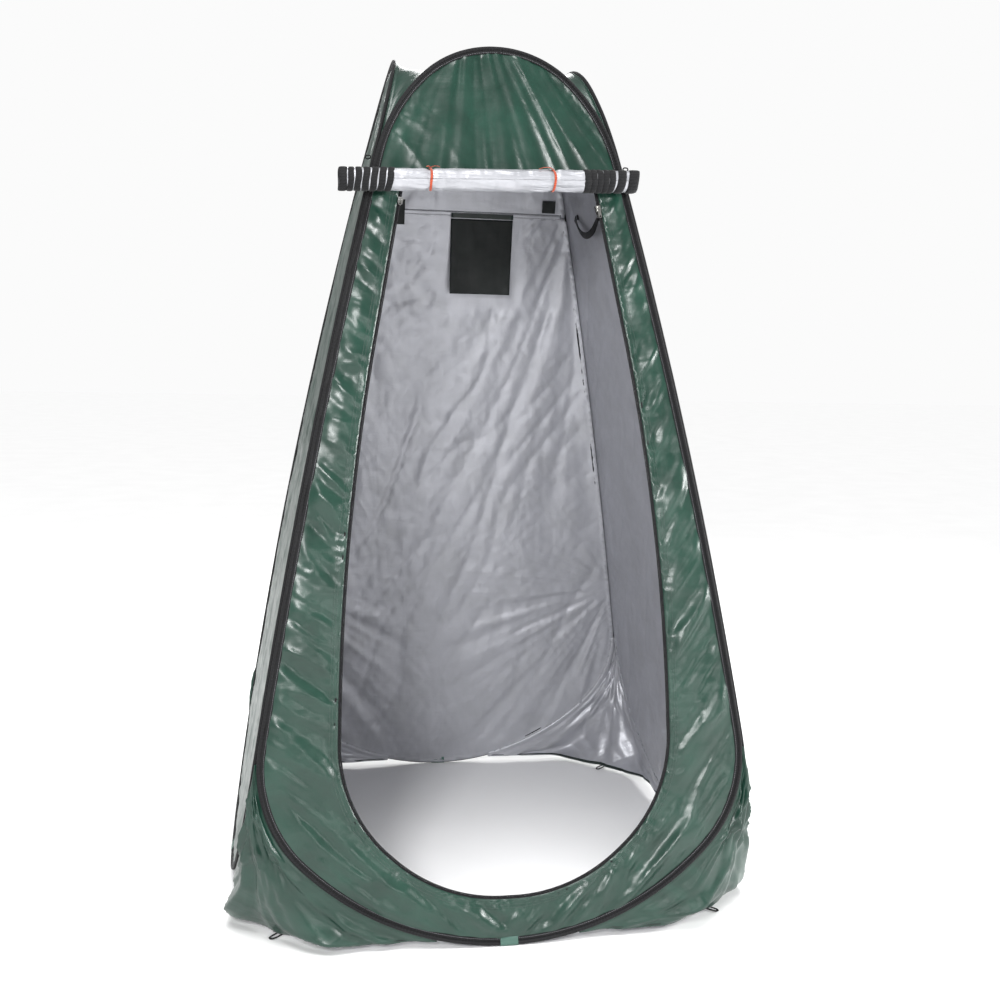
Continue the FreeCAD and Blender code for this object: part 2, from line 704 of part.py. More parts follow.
def build_ties():
    """Tape loop round the roll on each side, with a tab to the header."""
    inner = ROLL_R + SEWN_GAP
    for side, x in TIE_XS.items():
        ring = ring_along_roll(x, TIE_WIDTH / 2, inner + TIE_THICK, inner)
        centre = roll_axis(x)
        z = centre.z + inner - TIE_THICK
        x0, x1 = x - TIE_WIDTH / 2, x + TIE_WIDTH / 2
        tab = box(x0, x1, centre.y - TIE_WIDTH, wall_face_y(z), z, z + TIE_THICK)
        tab = tab.cut(round_along_roll(x - TIE_WIDTH, x + TIE_WIDTH, inner))
        save("door_tie_" + side, ring.fuse(tab))


# ---- pieces inside the tent ----------------------------------------------------------------
def on_back_wall(thick, x0, x1, z0, z1):
    """Flat piece sewn on the inside of the back wall; x as seen from the door."""
    offset = -(FABRIC / 2 + SEWN_GAP + thick / 2)
    piece = wall_slab(thick, offset).common(box(-x1, -x0, -REACH, 0, z0, z1))
    return turned(piece, SIDES["back"])


def build_flap():
    """Dark flap that hangs by its top seam from the back wall, and two dark tabs."""
    half = FLAP_WIDTH / 2
    strip_z = FLAP_HINGE_Z + SEAM_STRIP_GAP
    strip = on_back_wall(SEAM_STRIP_THICK, FLAP_X - half, FLAP_X + half, strip_z, strip_z + SEAM_STRIP)
    save("flap_seam", strip)
    sheet = box(-half, half, -FLAP_THICK / 2, FLAP_THICK / 2, -FLAP_DROP, 0)
    sheet = sheet.fuse(Part.makeCylinder(HEM_R, FLAP_WIDTH, V(-half, 0, 0), V(1, 0, 0)))
    wall_lean = math.degrees(math.atan(-wall_slope(FLAP_HINGE_Z)))
    sheet.rotate(ORIGIN, V(1, 0, 0), -(wall_lean - FLAP_OFF_WALL))
    sheet.translate(on_front(-FLAP_X, FLAP_HINGE_Z) - wall_normal(FLAP_HINGE_Z) * FLAP_STAND_OFF)
    save("flap", turned(sheet, SIDES["back"]))
    tabs = (("left", TAB_LEFT_X, TAB_LEFT_Z, TAB_WIDTH, TAB_DROP),
            ("right", TAB_RIGHT_X, TAB_RIGHT_Z, TAB_WIDTH * 0.75, TAB_DROP / 2))
    for side, x, z, width, drop in tabs:
        save("wall_tab_" + side, on_back_wall(TAB_THICK, x, x + width, z, z + drop))


def build_strap():
    """Webbing strap that hangs in a shallow loop along the inside of the right wall."""
    back, front = STRAP_BACK, STRAP_FRONT
    middle = (back + front) * 0.5
    drop = UP * STRAP_END
    top = Part.Arc(back, middle - UP * (STRAP_SAG - STRAP_WIDTH), front).toShape()
    low = Part.Arc(back - drop, middle - UP * STRAP_SAG, front - drop).toShape()
    ends = [Part.makeLine(back, back - drop), Part.makeLine(front, front - drop)]
    face = Part.Face(Part.Wire(Part.__sortEdges__([top, low] + ends)))
    along = (back - front).normalize()
    side = along.cross(UP).normalize()
    strap = face.extrude(side * STRAP_THICK)
    strap.translate(side * (-STRAP_THICK / 2))
    save("hanging_strap", strap)
    offset = -(FABRIC / 2 + SEWN_GAP + ANCHOR_DEPTH / 2)
    inside = turned(wall_slab(ANCHOR_DEPTH, offset), SIDES["right"])
    for name, end, way in (("back", back, -1), ("front", front, 1)):
        y0, y1 = sorted((end.y, end.y + way * ANCHOR_LENGTH))
        stitch = box(end.x + STRAP_THICK, WALL_EDGE_X, y0, y1, end.z - STRAP_END, end.z)
        save("strap_anchor_" + name, stitch.common(inside))


field_area = outline_prism(TAPE_WIDTH)
build_hoops(field_area)
build_walls(field_area)
build_roof()
build_gussets()
build_guy_loops()
build_zip()
build_sliders()
build_door()
build_ties()
build_flap()
build_strap()
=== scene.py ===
"""Looks of the pop-up privacy shower tent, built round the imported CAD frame.

Metres, in the CAD frame: origin at the centre of the footprint on the ground, +Z up, the door faces -Y.
A piece of one side is built as the front side's and then turned about Z by quarter turns.
"""
import json
import math
import bpy
import numpy as np
from mathutils import Matrix, Vector, geometry

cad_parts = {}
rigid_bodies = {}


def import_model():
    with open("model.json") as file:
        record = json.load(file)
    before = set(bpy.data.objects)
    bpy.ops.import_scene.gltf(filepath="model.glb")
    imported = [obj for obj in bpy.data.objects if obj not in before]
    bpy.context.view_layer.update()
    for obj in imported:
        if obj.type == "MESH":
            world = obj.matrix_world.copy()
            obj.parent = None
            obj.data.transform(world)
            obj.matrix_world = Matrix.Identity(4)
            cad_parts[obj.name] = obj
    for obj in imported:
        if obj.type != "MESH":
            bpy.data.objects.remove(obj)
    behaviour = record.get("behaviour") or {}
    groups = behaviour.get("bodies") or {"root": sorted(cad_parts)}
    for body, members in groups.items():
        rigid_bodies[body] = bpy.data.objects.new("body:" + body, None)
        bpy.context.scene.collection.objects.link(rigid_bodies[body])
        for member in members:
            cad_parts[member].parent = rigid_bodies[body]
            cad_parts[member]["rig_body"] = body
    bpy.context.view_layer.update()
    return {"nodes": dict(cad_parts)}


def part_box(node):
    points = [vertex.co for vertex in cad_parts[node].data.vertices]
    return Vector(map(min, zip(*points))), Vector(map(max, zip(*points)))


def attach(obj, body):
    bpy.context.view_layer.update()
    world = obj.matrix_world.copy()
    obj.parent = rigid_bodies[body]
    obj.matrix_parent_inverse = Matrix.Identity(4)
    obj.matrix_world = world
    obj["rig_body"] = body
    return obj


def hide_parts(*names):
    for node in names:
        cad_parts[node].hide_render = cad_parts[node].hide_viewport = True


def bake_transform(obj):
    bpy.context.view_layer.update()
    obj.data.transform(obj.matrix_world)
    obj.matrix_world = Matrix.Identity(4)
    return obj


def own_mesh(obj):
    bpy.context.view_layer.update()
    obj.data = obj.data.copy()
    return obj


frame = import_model()

# ---- dimensions, as in the CAD -------------------------------------------------------------
TOP_Z = 1.900
LOW_Z = 0.420
LOW_HALF = 0.517
HIGH_Z = 1.650
HIGH_HALF = 0.272
EDGE_BULGE = 0.013
HOOP_INSET = 0.006
SLEEVE_R = 0.0039
PATCH_R = 0.0048
PATCH_HALF = 0.019
TAPE_WIDTH = 0.012
HEADER_Z = 1.607
BACK_SEAM_Z = 1.590
ZIP_TAPE = 0.012
COIL_WIDTH = 0.0032
ROLL_R = 0.0255
ROLL_Z = 1.590
ROLL_TILT = math.radians(2.0)
ROLL_GAP = 0.005
ROLL_CORE = ROLL_R - 0.0022      # the silver inside the wound tape and under the ties
FABRIC = 0.0012            # the CAD sheets' thickness
CLOTH_THICK = 0.0009       # the visible cloth's, so that it stays inside them
ROLL_LEFT = -0.352
ROLL_LEFT_SILVER = -0.236
ROLL_RIGHT_SILVER = 0.177
ROLL_RIGHT = 0.299
TIE_XS = (-0.157, 0.111)
FLAP_X = 0.055
FLAP_WIDTH = 0.165
FLAP_DROP = 0.195
FLAP_HINGE_Z = 1.577
FLAP_OFF_WALL = math.radians(7.0)
FLAP_STAND_OFF = 0.003
STRAP_BACK = np.array([0.2825, 0.184, 1.587])
STRAP_FRONT = np.array([0.2875, -0.032, 1.565])
STRAP_SAG = 0.062
GUSSET_HALF = 0.470
GUSSET_FOOT_Z = 0.006
GUSSET_SPREAD = 0.150
GUSSET_START = 0.115
FOOT_PROUD = 0.012        # how much further the cloth's corner lies than the CAD sheet's
QUARTER = {"front": 0, "right": 1, "back": 2, "left": 3}
ROOT2 = math.sqrt(2.0)


# ---- the wall profile and the hoop's line --------------------------------------------------
def circle_through(a, b, c):
    """Centre and radius of the circle through three points of a plane."""
    m = 2 * np.array([[b[0] - a[0], b[1] - a[1]], [c[0] - a[0], c[1] - a[1]]])
    r = np.array([np.dot(b, b) - np.dot(a, a), np.dot(c, c) - np.dot(a, a)])
    centre = np.linalg.solve(m, r)
    return centre[0], centre[1], math.dist(centre, a)


CHORD = math.hypot(LOW_HALF - HIGH_HALF, HIGH_Z - LOW_Z)
MID_HALF = (LOW_HALF + HIGH_HALF) / 2 + EDGE_BULGE * (HIGH_Z - LOW_Z) / CHORD
MID_Z = (LOW_Z + HIGH_Z) / 2 + EDGE_BULGE * (LOW_HALF - HIGH_HALF) / CHORD
DIAGONAL_X, DIAGONAL_Z, DIAGONAL_R = circle_through(
    (ROOT2 * LOW_HALF, LOW_Z), (ROOT2 * MID_HALF, MID_Z), (ROOT2 * HIGH_HALF, HIGH_Z))


def wall_slope(z):
    """Change of the tent's half width with height."""
    z = np.clip(z, LOW_Z, HIGH_Z)
    return -(z - DIAGONAL_Z) / np.sqrt(DIAGONAL_R ** 2 - (z - DIAGONAL_Z) ** 2) / ROOT2


def wall_half(z):
    """Distance from the centre plane to a wall at any height; straight below and above."""
    held = np.clip(z, LOW_Z, HIGH_Z)
    half = (DIAGONAL_X + np.sqrt(DIAGONAL_R ** 2 - (held - DIAGONAL_Z) ** 2)) / ROOT2
    return half + wall_slope(z) * (z - held)


def on_front(x, z, out=0.0):
    """Points of the front wall's middle surface, moved out of the tent by a distance."""
    x, z, out = np.broadcast_arrays(np.asarray(x, float), z, out)
    slope = wall_slope(z)
    stretch = np.hypot(1, slope)
    return np.stack([x, -wall_half(z) - out / stretch, z - out * slope / stretch], axis=-1)


SPLIT = math.radians(45.0)      # the heading at which a round end changes from one arc to the other
ARC_POINTS = 30


class RoundEnd:
    """The arched top or the rounded bottom of a hoop: two tangent arcs on each side."""

    def __init__(self, half, z, end_z, slope):
        self.half, self.z = half, z
        self.stretch = math.hypot(1, slope)
        self.way = 1 if end_z > z else -1
        self.along = abs(end_z - z) * self.stretch
        self.heading = math.atan(-slope / self.stretch) * self.way
        near_a, near_b = math.cos(self.heading) - math.cos(SPLIT), math.cos(SPLIT)
        far_a, far_b = math.sin(SPLIT) - math.sin(self.heading), 1 - math.sin(SPLIT)
        det = near_a * far_b - near_b * far_a
        self.near_r = (half * far_b - near_b * self.along) / det
        self.far_r = (near_a * self.along - half * far_a) / det

    def at(self, angle, inset=0.0):
        """(x, z) on the left half, where the line's heading is angle."""
        cos, sin = math.cos(angle), math.sin(angle)
        if angle < SPLIT:
            x = self.half - self.near_r * math.cos(self.heading) + (self.near_r - inset) * cos
            rise = -self.near_r * math.sin(self.heading) + (self.near_r - inset) * sin
        else:
            x = (self.far_r - inset) * cos
            rise = self.along - self.far_r + (self.far_r - inset) * sin
        return -x, self.z + self.way * rise / self.stretch


TOP = RoundEnd(HIGH_HALF - HOOP_INSET, HIGH_Z, TOP_Z - SLEEVE_R, float(wall_slope(HIGH_Z)))
FOOT = RoundEnd(LOW_HALF - HOOP_INSET, LOW_Z, PATCH_R, float(wall_slope(LOW_Z)))


def along_line(line):
    """How far along a line each of its points is."""
    return np.concatenate([[0], np.cumsum(np.linalg.norm(np.diff(line, axis=0), axis=1))])


def sample(line, along, at):
    """Points of a line at distances along it."""
    return np.stack([np.interp(at, along, line[:, k]) for k in range(line.shape[1])], axis=1)


def unit(vectors):
    """Vectors brought to length 1."""
    return vectors / np.linalg.norm(vectors, axis=1)[:, None]


def resample(line, step, closed=False):
    """Points evenly spaced along a line through points of a plane or of space."""
    line = np.asarray(line, float)
    if closed:
        line = np.vstack([line, line[:1]])
    along = along_line(line)
    count = max(2, round(along[-1] / step))
    at = np.linspace(0, along[-1], count + 1)
    if closed:
        at = at[:-1]
    return sample(line, along, at)


def hoop_line(inset=0.0, step=0.008):
    """The front hoop in the XZ plane as a closed line, moved inwards by inset: from the crown down the left."""
    left = [TOP.at(a, inset) for a in np.linspace(math.pi / 2, TOP.heading, 60)]
    for z in np.linspace(HIGH_Z, LOW_Z, 80)[1:-1]:
        slope = float(wall_slope(z))
        lean = math.hypot(1, slope / math.hypot(1, slope))
        left.append((-(float(wall_half(z)) - HOOP_INSET) + inset * lean, z))
    left += [FOOT.at(a, inset) for a in np.linspace(FOOT.heading, math.pi / 2, 80)]
    right = [(-x, z) for x, z in left[-2:0:-1]]
    return resample(left + right, step, closed=True)


def arc_points(a, b, c):
    """Points along the arc through three points of a plane."""
    cx, cz, r = circle_through(a, b, c)
    turn = np.unwrap([math.atan2(p[1] - cz, p[0] - cx) for p in (a, b, c)])
    return [(cx + r * math.cos(t), cz + r * math.sin(t)) for t in np.linspace(turn[0], turn[2], ARC_POINTS)]


def door_line(shrink=0.0, top=HEADER_Z, step=0.008):
    """Line of the door opening from its upper left round the foot to its upper right, moved inwards by shrink."""
    left = [(-0.216, HEADER_Z + 0.03), (-0.275, 1.310)]
    left += arc_points((-0.275, 1.310), (-0.336, 0.900), (-0.362, 0.440))[1:]
    left += arc_points((-0.362, 0.440), (-0.334, 0.290), (-0.251, 0.181))[1:]
    left += arc_points((-0.251, 0.181), (-0.135, 0.110), (0.0, 0.088))[1:]
    line = resample(left + [(-x, z) for x, z in left[-2::-1]], step / 2)
    way = unit(np.gradient(line, axis=0))
    line = line + np.stack([-way[:, 1], way[:, 0]], axis=1) * shrink
    line = line[line[:, 1] <= top]
    return resample(line, step)


def part_of_loop(loop, z, above):
    """The open part of a closed (x, z) loop above or below a height, from its left end to its right end."""
    keep = loop[:, 1] > z if above else loop[:, 1] < z
    start = next(i for i in range(len(loop)) if keep[i] and not keep[i - 1])
    run = []
    for i in range(len(loop)):
        p = loop[(start + i) % len(loop)]
        if not keep[(start + i) % len(loop)]:
            break
        run.append(p)
    run = np.array(run)
    ends = []
    for inner, outer in ((start, start - 1), (start + len(run) - 1, start + len(run))):
        a, b = loop[inner % len(loop)], loop[outer % len(loop)]
        ends.append(a + (b - a) * (z - a[1]) / (b[1] - a[1]))
    run = np.vstack([ends[0], run, ends[1]])
    return run if run[0, 0] < run[-1, 0] else run[::-1]


# ---- smooth noise --------------------------------------------------------------------------
def perlin(u, v, seed=0):
    """Smooth noise of two coordinates, from about -0.7 to 0.7."""
    u, v = np.broadcast_arrays(np.asarray(u, float), np.asarray(v, float))
    random = np.random.default_rng(seed)
    order = random.permutation(256)
    turns = random.random(256) * 2 * math.pi
    iu, iv = np.floor(u).astype(int), np.floor(v).astype(int)
    fu, fv = u - iu, v - iv
    total = np.zeros_like(fu)
    for du in (0, 1):
        for dv in (0, 1):
            turn = turns[order[(order[(iu + du) & 255] + iv + dv) & 255]]
            dot = np.cos(turn) * (fu - du) + np.sin(turn) * (fv - dv)
            wu = fu if du else 1 - fu
            wv = fv if dv else 1 - fv
            total += dot * (wu ** 3 * (wu * (wu * 6 - 15) + 10)) * (wv ** 3 * (wv * (wv * 6 - 15) + 10))
    return total


def smooth(t, low=0.0, high=1.0):
    """A soft step: 0 below low, 1 above high."""
    t = np.clip((t - low) / (high - low), 0, 1)
    return t * t * (3 - 2 * t)


def turned(x, z, degrees):
    """A point's coordinates along a direction and across it."""
    turn = math.radians(degrees)
    return x * math.cos(turn) + z * math.sin(turn), -x * math.sin(turn) + z * math.cos(turn)


def ridges(noise, low, power):
    """Sharp ridges where a noise passes through zero."""
    return np.clip(1 - 2.2 * np.abs(noise), low, 1) ** power


def creases(x, z, degrees, across, along, seed):
    """Ridges that run at an angle: across is their spacing and along their length. From about -0.5 to 0.5."""
    u, v = turned(x, z, degrees)
    v = v + 0.9 * across * perlin(u / along, v / along, seed + 50)
    return ridges(perlin(u / along, v / across, seed), -0.4, 3) - 0.28


def billows(x, z, degrees, across, along, seed):
    """Soft rounded folds that run at an angle. From about -0.7 to 0.7."""
    u, v = turned(x, z, degrees)
    return perlin(u / along, v / across, seed) + 0.5 * perlin(u / along * 2, v / across * 2, seed + 7)


# ---- meshes --------------------------------------------------------------------------------
def new_object(name, points, faces, materials, uvs):
    """A smooth shaded mesh object; uvs are one per point, in metres."""
    mesh = bpy.data.meshes.new(name)
    mesh.from_pydata([tuple(p) for p in points], [], [tuple(f) for f in faces])
    mesh.validate()
    layer = mesh.uv_layers.new(name="UVMap")
    corner = np.zeros(len(mesh.loops), np.int32)
    mesh.loops.foreach_get("vertex_index", corner)
    layer.data.foreach_set("uv", np.asarray(uvs, np.float32)[corner].ravel())
    for material in materials:
        mesh.materials.append(material)
    mesh.polygons.foreach_set("use_smooth", np.ones(len(mesh.polygons), bool))
    mesh.update()
    piece = bpy.data.objects.new(name, mesh)
    bpy.context.scene.collection.objects.link(piece)
    return piece


def turn_points(points, side):
    """Points of the front side turned to another side."""
    matrix = np.array(Matrix.Rotation(math.radians(90 * QUARTER[side]), 3, "Z"))
    return np.asarray(points) @ matrix.T


def carry(piece, body):
    """The piece rides on a body and stands for no CAD node."""
    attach(piece, body)


def place(piece, node):
    """The piece rides where its CAD node does, and stands for it."""
    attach(piece, frame["nodes"][node]["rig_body"])
    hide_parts(node)


def thicken(piece, thickness):
    """Give a sheet its thickness, with another material on its inner side."""
    solid = piece.modifiers.new("thickness", "SOLIDIFY")
    solid.thickness = thickness
    solid.offset = 0.0
    solid.material_offset = 1
    solid.material_offset_rim = 0
    return piece


def inside(points, loop):
    """Which points of a plane lie inside a closed line."""
    x, z = points[:, 0], points[:, 1]
    hit = np.zeros(len(points), bool)
    for a, b in zip(loop, np.roll(loop, -1, axis=0)):
        if a[1] == b[1]:
            continue
        crossing = (a[1] > z) != (b[1] > z)
        hit ^= crossing & (x < (b[0] - a[0]) * (z - a[1]) / (b[1] - a[1]) + a[0])
    return hit


def edge_distance(points, line):
    """Distance of each point from the nearest stretch of a closed line."""
    best = np.full(len(points), np.inf)
    for a, b in zip(line, np.roll(line, -1, axis=0)):
        d = b - a
        t = np.clip(((points - a) @ d) / max(d @ d, 1e-12), 0, 1)
        best = np.minimum(best, np.linalg.norm(points - a - t[:, None] * d, axis=1))
    return best


def fill(loop, step, seed):
    """An even triangle mesh inside a closed line: its points, its triangles and each point's distance from the line."""
    low, high = loop.min(0), loop.max(0)
    rows = np.arange(low[1], high[1], step * 0.866)
    grid = np.array([(x + (step / 2 if i % 2 else 0), z) for i, z in enumerate(rows)
                     for x in np.arange(low[0], high[0], step)])
    grid += np.random.default_rng(seed).uniform(-0.12, 0.12, grid.shape) * step
    grid = grid[inside(grid, loop)]
    away = edge_distance(grid, loop)
    grid, away = grid[away > 0.55 * step], away[away > 0.55 * step]
    points = np.vstack([loop, grid])
    count = len(loop)
    edges = [(i, (i + 1) % count) for i in range(count)]
    found = geometry.delaunay_2d_cdt([Vector(p) for p in points], edges, [], 1, 1e-6)
    triangles = np.array([f for f in found[2] if len(f) == 3])
    points = np.array([tuple(p) for p in found[0]])
    centres = points[triangles].mean(axis=1)
    triangles = triangles[inside(centres, loop)]
    away = edge_distance(points, loop)
    return points, triangles, away


def panel(name, loop, relief, side, materials, seed, step=0.010):
    """A sheet of one wall inside a closed (x, z) line, with relief(x, z, away) as its height out of the wall."""
    flat, triangles, away = fill(resample(loop, step, closed=True), step, seed)
    x, z = flat.T
    points = on_front(x, z, relief(x, z, away))
    first, second, third = (points[triangles[:, k]] for k in range(3))
    normal = np.cross(second - first, third - first)
    if normal[:, 1].sum() > 0:
        triangles = triangles[:, ::-1]
    piece = new_object(name, turn_points(points, side), triangles, materials, uvs=flat)
    return thicken(piece, CLOTH_THICK)


def ways_along(line, closed):
    """The unit way along a line at each of its points."""
    if closed:
        way = np.roll(line, -1, axis=0) - np.roll(line, 1, axis=0)
    else:
        way = np.gradient(line, axis=0)
    return unit(way)


def ring_faces(before, after, count):
    """Faces between two rings of points, given the number of each ring's first point."""
    return [(before + k, before + (k + 1) % count, after + (k + 1) % count, after + k) for k in range(count)]


def sweep(name, line, across, out, section, materials, closed):
    """A closed section swept along a line. section is a list of (across, out) pairs, or a function of the station."""
    count = len(line)
    rings = []
    for i in range(count):
        pairs = section(i) if callable(section) else section
        rings.append(line[i] + np.outer([p[0] for p in pairs], across[i]) + np.outer([p[1] for p in pairs], out[i]))
    m = len(rings[0])
    points = np.vstack(rings)
    faces = []
    for i in range(count if closed else count - 1):
        faces += ring_faces(i * m, (i + 1) % count * m, m)
    if not closed:
        faces.append(tuple(range(m))[::-1])
        faces.append(tuple((count - 1) * m + k for k in range(m)))
    along, girth = along_line(line), along_line(rings[0])
    uvs = np.stack([np.repeat(along, m), np.tile(girth, count)], axis=1)
    return new_object(name, points, faces, materials, uvs)


def wall_frames(flat, closed):
    """For (x, z) points of the front wall: space points, the way across the line and the way out of the wall."""
    line = on_front(flat[:, 0], flat[:, 1])
    out = on_front(flat[:, 0], flat[:, 1], 1.0) - line
    return line, unit(np.cross(ways_along(line, closed), out)), out


def up_frames(flat):
    """The same for an open line, with the way across always upwards."""
    line, across, out = wall_frames(flat, False)
    return line, np.where(across[:, 2:] > 0, across, -across), out


def inwards(line, across, centre):
    """The ways across a line, each turned towards a centre."""
    return across * np.sign((across * (centre - line)).sum(1))[:, None]


def ring(radius, count):
    """Section of a round tube."""
    return [(radius * math.cos(t), radius * math.sin(t))
            for t in np.linspace(0, 2 * math.pi, count, endpoint=False)]


def slab(low, high, thickness, bulge=0.0):
    """Section of a flat band between two distances across, with rounded edges."""
    h = thickness / 2
    mid = (low + high) / 2
    return [(low, 0), (low + h, -h), (mid, -h - bulge), (high - h, -h), (high, 0), (high - h, h),
            (mid, h + bulge), (low + h, h)]


# ---- materials -----------------------------------------------------------------------------
def rgb(r, g, b):
    """Linear colour from 0 to 255 display values."""
    return tuple(((v / 255 + 0.055) / 1.055) ** 2.4 if v > 10 else v / 255 / 12.92 for v in (r, g, b)) + (1.0,)


class Nodes:
    """A material's node tree, with short calls for the nodes used here."""

    def __init__(self, name):
        self.material = bpy.data.materials.new(name)
        self.material.use_nodes = True
        self.tree = self.material.node_tree
        self.shader = self.tree.nodes["Principled BSDF"]
        self.uv = self.tree.nodes.new("ShaderNodeTexCoord").outputs["UV"]

    def set(self, node, values):
        for key, value in values.items():
            if isinstance(value, bpy.types.NodeSocket):
                self.tree.links.new(value, node.inputs[key])
            else:
                node.inputs[key].default_value = value
        return node

    def stretch(self, scale, turn=0.0):
        node = self.tree.nodes.new("ShaderNodeMapping")
        self.set(node, {"Vector": self.uv, "Scale": scale, "Rotation": (0, 0, math.radians(turn))})
        return node.outputs["Vector"]

    def noise(self, scale, detail=3.0, roughness=0.55, vector=None, distortion=0.0):
        node = self.tree.nodes.new("ShaderNodeTexNoise")
        self.set(node, {"Vector": vector or self.uv, "Scale": scale, "Detail": detail,
                        "Roughness": roughness, "Distortion": distortion})
        return node.outputs["Fac"]

    def wave(self, scale, vector=None, direction="X"):
        node = self.tree.nodes.new("ShaderNodeTexWave")
        node.bands_direction = direction
        self.set(node, {"Vector": vector or self.uv, "Scale": scale})
        return node.outputs["Fac"]

    def math(self, operation, a, b):
        node = self.tree.nodes.new("ShaderNodeMath")
        node.operation = operation
        self.set(node, {0: a, 1: b})
        return node.outputs[0]

    def ramp(self, value, stops):
        node = self.tree.nodes.new("ShaderNodeValToRGB")
        elements = node.color_ramp.elements
        while len(elements) < len(stops):
            elements.new(0.5)
        for element, (place_at, colour) in zip(elements, stops):
            element.position, element.color = place_at, colour
        self.tree.links.new(value, node.inputs[0])
        return node.outputs[0]

    def spread(self, value, low, high, to_low, to_high):
        node = self.tree.nodes.new("ShaderNodeMapRange")
        self.set(node, {"Value": value, "From Min": low, "From Max": high, "To Min": to_low, "To Max": to_high})
        return node.outputs[0]

    def bump(self, height, strength, distance, normal=None):
        node = self.tree.nodes.new("ShaderNodeBump")
        self.set(node, {"Height": height, "Strength": strength, "Distance": distance})
        if normal is not None:
            self.tree.links.new(normal, node.inputs["Normal"])
        return node.outputs["Normal"]

    def weave(self, threads_per_metre):
        """Over and under of a plain weave."""
        scale = threads_per_metre / 20.0
        return self.math("MULTIPLY", self.wave(scale), self.wave(scale, direction="Y"))

    def done(self, **inputs):
        names = {"colour": "Base Color", "rough": "Roughness", "metal": "Metallic", "normal": "Normal",
                 "sheen": "Sheen Weight", "sheen_rough": "Sheen Roughness",
                 "specular": "Specular IOR Level"}
        self.set(self.shader, {names[k]: v for k, v in inputs.items()})
        return self.material


def coated_cloth(name, dark, mid, light, rough, crinkle, metal=0.0, specular=0.5, sheen=0.0):
    """Thin coated polyester: soft blotches of colour, a fine weave and small crinkles."""
    n = Nodes(name)
    blotch = n.noise(9.0, 4.0, 0.6, distortion=0.4)
    colour = n.ramp(blotch, [(0.30, dark), (0.52, mid), (0.75, light)])
    fine = n.bump(n.weave(1800), 0.25, 0.00012)
    long_fold = n.noise(1.0, 2.0, 0.45, n.stretch((26, 7, 1), 24), 0.3)
    cross_fold = n.noise(1.0, 2.0, 0.45, n.stretch((9, 34, 1), -35), 0.4)
    tiny = n.noise(150.0, 3.0, 0.5)
    folds = n.math("ADD", n.math("ADD", long_fold, n.math("MULTIPLY", cross_fold, 0.7)), n.math("MULTIPLY", tiny, 0.05))
    normal = n.bump(folds, crinkle, 0.008, fine)
    shine = n.spread(n.noise(24.0, 4.0), 0.3, 0.7, rough - 0.05, rough + 0.07)
    return n.done(colour=colour, rough=shine, normal=normal, metal=metal, specular=specular,
                  sheen=sheen, sheen_rough=0.4)


def webbing_cloth(name, dark, light, ribs, rough=0.75, sheen=0.25):
    """Woven tape: ribs across it and a diagonal twill."""
    n = Nodes(name)
    rib = n.wave(ribs / 20.0)
    twill = n.wave(ribs / 20.0 * 1.4, n.stretch((1, 1, 1), 40))
    height = n.math("ADD", n.math("MULTIPLY", rib, 0.6), n.math("MULTIPLY", twill, 0.5))
    worn = n.noise(60.0, 4.0, 0.6)
    # The colour follows the ribs' and twill's height: painted shade in the grooves between them, varied at random by
    # the worn noise.
    colour = n.ramp(n.math("MULTIPLY", height, worn), [(0.15, dark), (0.60, light)])
    gather = n.bump(n.noise(1.0, 3.0, 0.5, n.stretch((160, 30, 1))), 0.5, 0.002)
    normal = n.bump(height, 0.5, 0.0004, gather)
    return n.done(colour=colour, rough=n.spread(worn, 0.3, 0.7, rough - 0.1, rough + 0.1), normal=normal,
                  sheen=sheen, sheen_rough=0.5, specular=0.3)


def metal(name, dark, light, rough):
    """Plated or bare metal with fine scratches."""
    n = Nodes(name)
    scratch = n.noise(1.0, 2.0, 0.5, n.stretch((2500, 180, 1), 12))
    colour = n.ramp(n.noise(400.0, 3.0), [(0.3, dark), (0.7, light)])
    return n.done(colour=colour, metal=1.0, rough=n.spread(scratch, 0.3, 0.7, rough, rough + 0.12),
                  normal=n.bump(scratch, 0.15, 0.0002))


GREEN = coated_cloth("shell_green_cloth", rgb(15, 46, 36), rgb(20, 54, 43), rgb(26, 63, 51), 0.34, 0.16,
                     specular=0.6, sheen=0.06)
SILVER = coated_cloth("lining_silver_coating", rgb(172, 173, 178), rgb(178, 179, 185), rgb(184, 185, 191), 0.42,
                      0.26, metal=0.45, specular=0.5)
ROLL_SILVER = coated_cloth("roll_silver_coating", rgb(160, 161, 166), rgb(170, 171, 176), rgb(182, 182, 187), 0.36,
                           0.9, metal=0.2, specular=0.5)
DARK_GREEN = coated_cloth("hem_dark_green_cloth", rgb(14, 27, 23), rgb(20, 36, 31), rgb(28, 46, 40), 0.5, 0.25)
DARK_FLAP = coated_cloth("flap_dark_cloth", rgb(8, 14, 13), rgb(12, 19, 17), rgb(18, 27, 24), 0.65, 0.2)
PATCH_GREEN = coated_cloth("patch_green_cloth", rgb(52, 84, 74), rgb(64, 98, 88), rgb(76, 110, 100), 0.42, 0.3)
BLACK_TAPE = webbing_cloth("binding_black_weave", rgb(8, 8, 10), rgb(26, 26, 29), 900, sheen=0.06)
BLACK_WEBBING = webbing_cloth("webbing_black_ribbed", rgb(6, 6, 8), rgb(22, 22, 25), 700, sheen=0.06)
ORANGE = webbing_cloth("tie_orange_weave", rgb(150, 52, 26), rgb(206, 92, 52), 1400, rough=0.7, sheen=0.3)
GREEN_THREAD = webbing_cloth("thread_green_twist", rgb(34, 54, 47), rgb(62, 88, 79), 4000, rough=0.6)
BLACK_THREAD = webbing_cloth("thread_black_twist", rgb(10, 10, 11), rgb(34, 35, 38), 4000, rough=0.6)
GREY_THREAD = webbing_cloth("thread_grey_twist", rgb(90, 91, 95), rgb(150, 151, 156), 4000, rough=0.6)
NYLON = webbing_cloth("coil_black_nylon", rgb(8, 8, 10), rgb(28, 28, 31), 2200, rough=0.4, sheen=0.0)
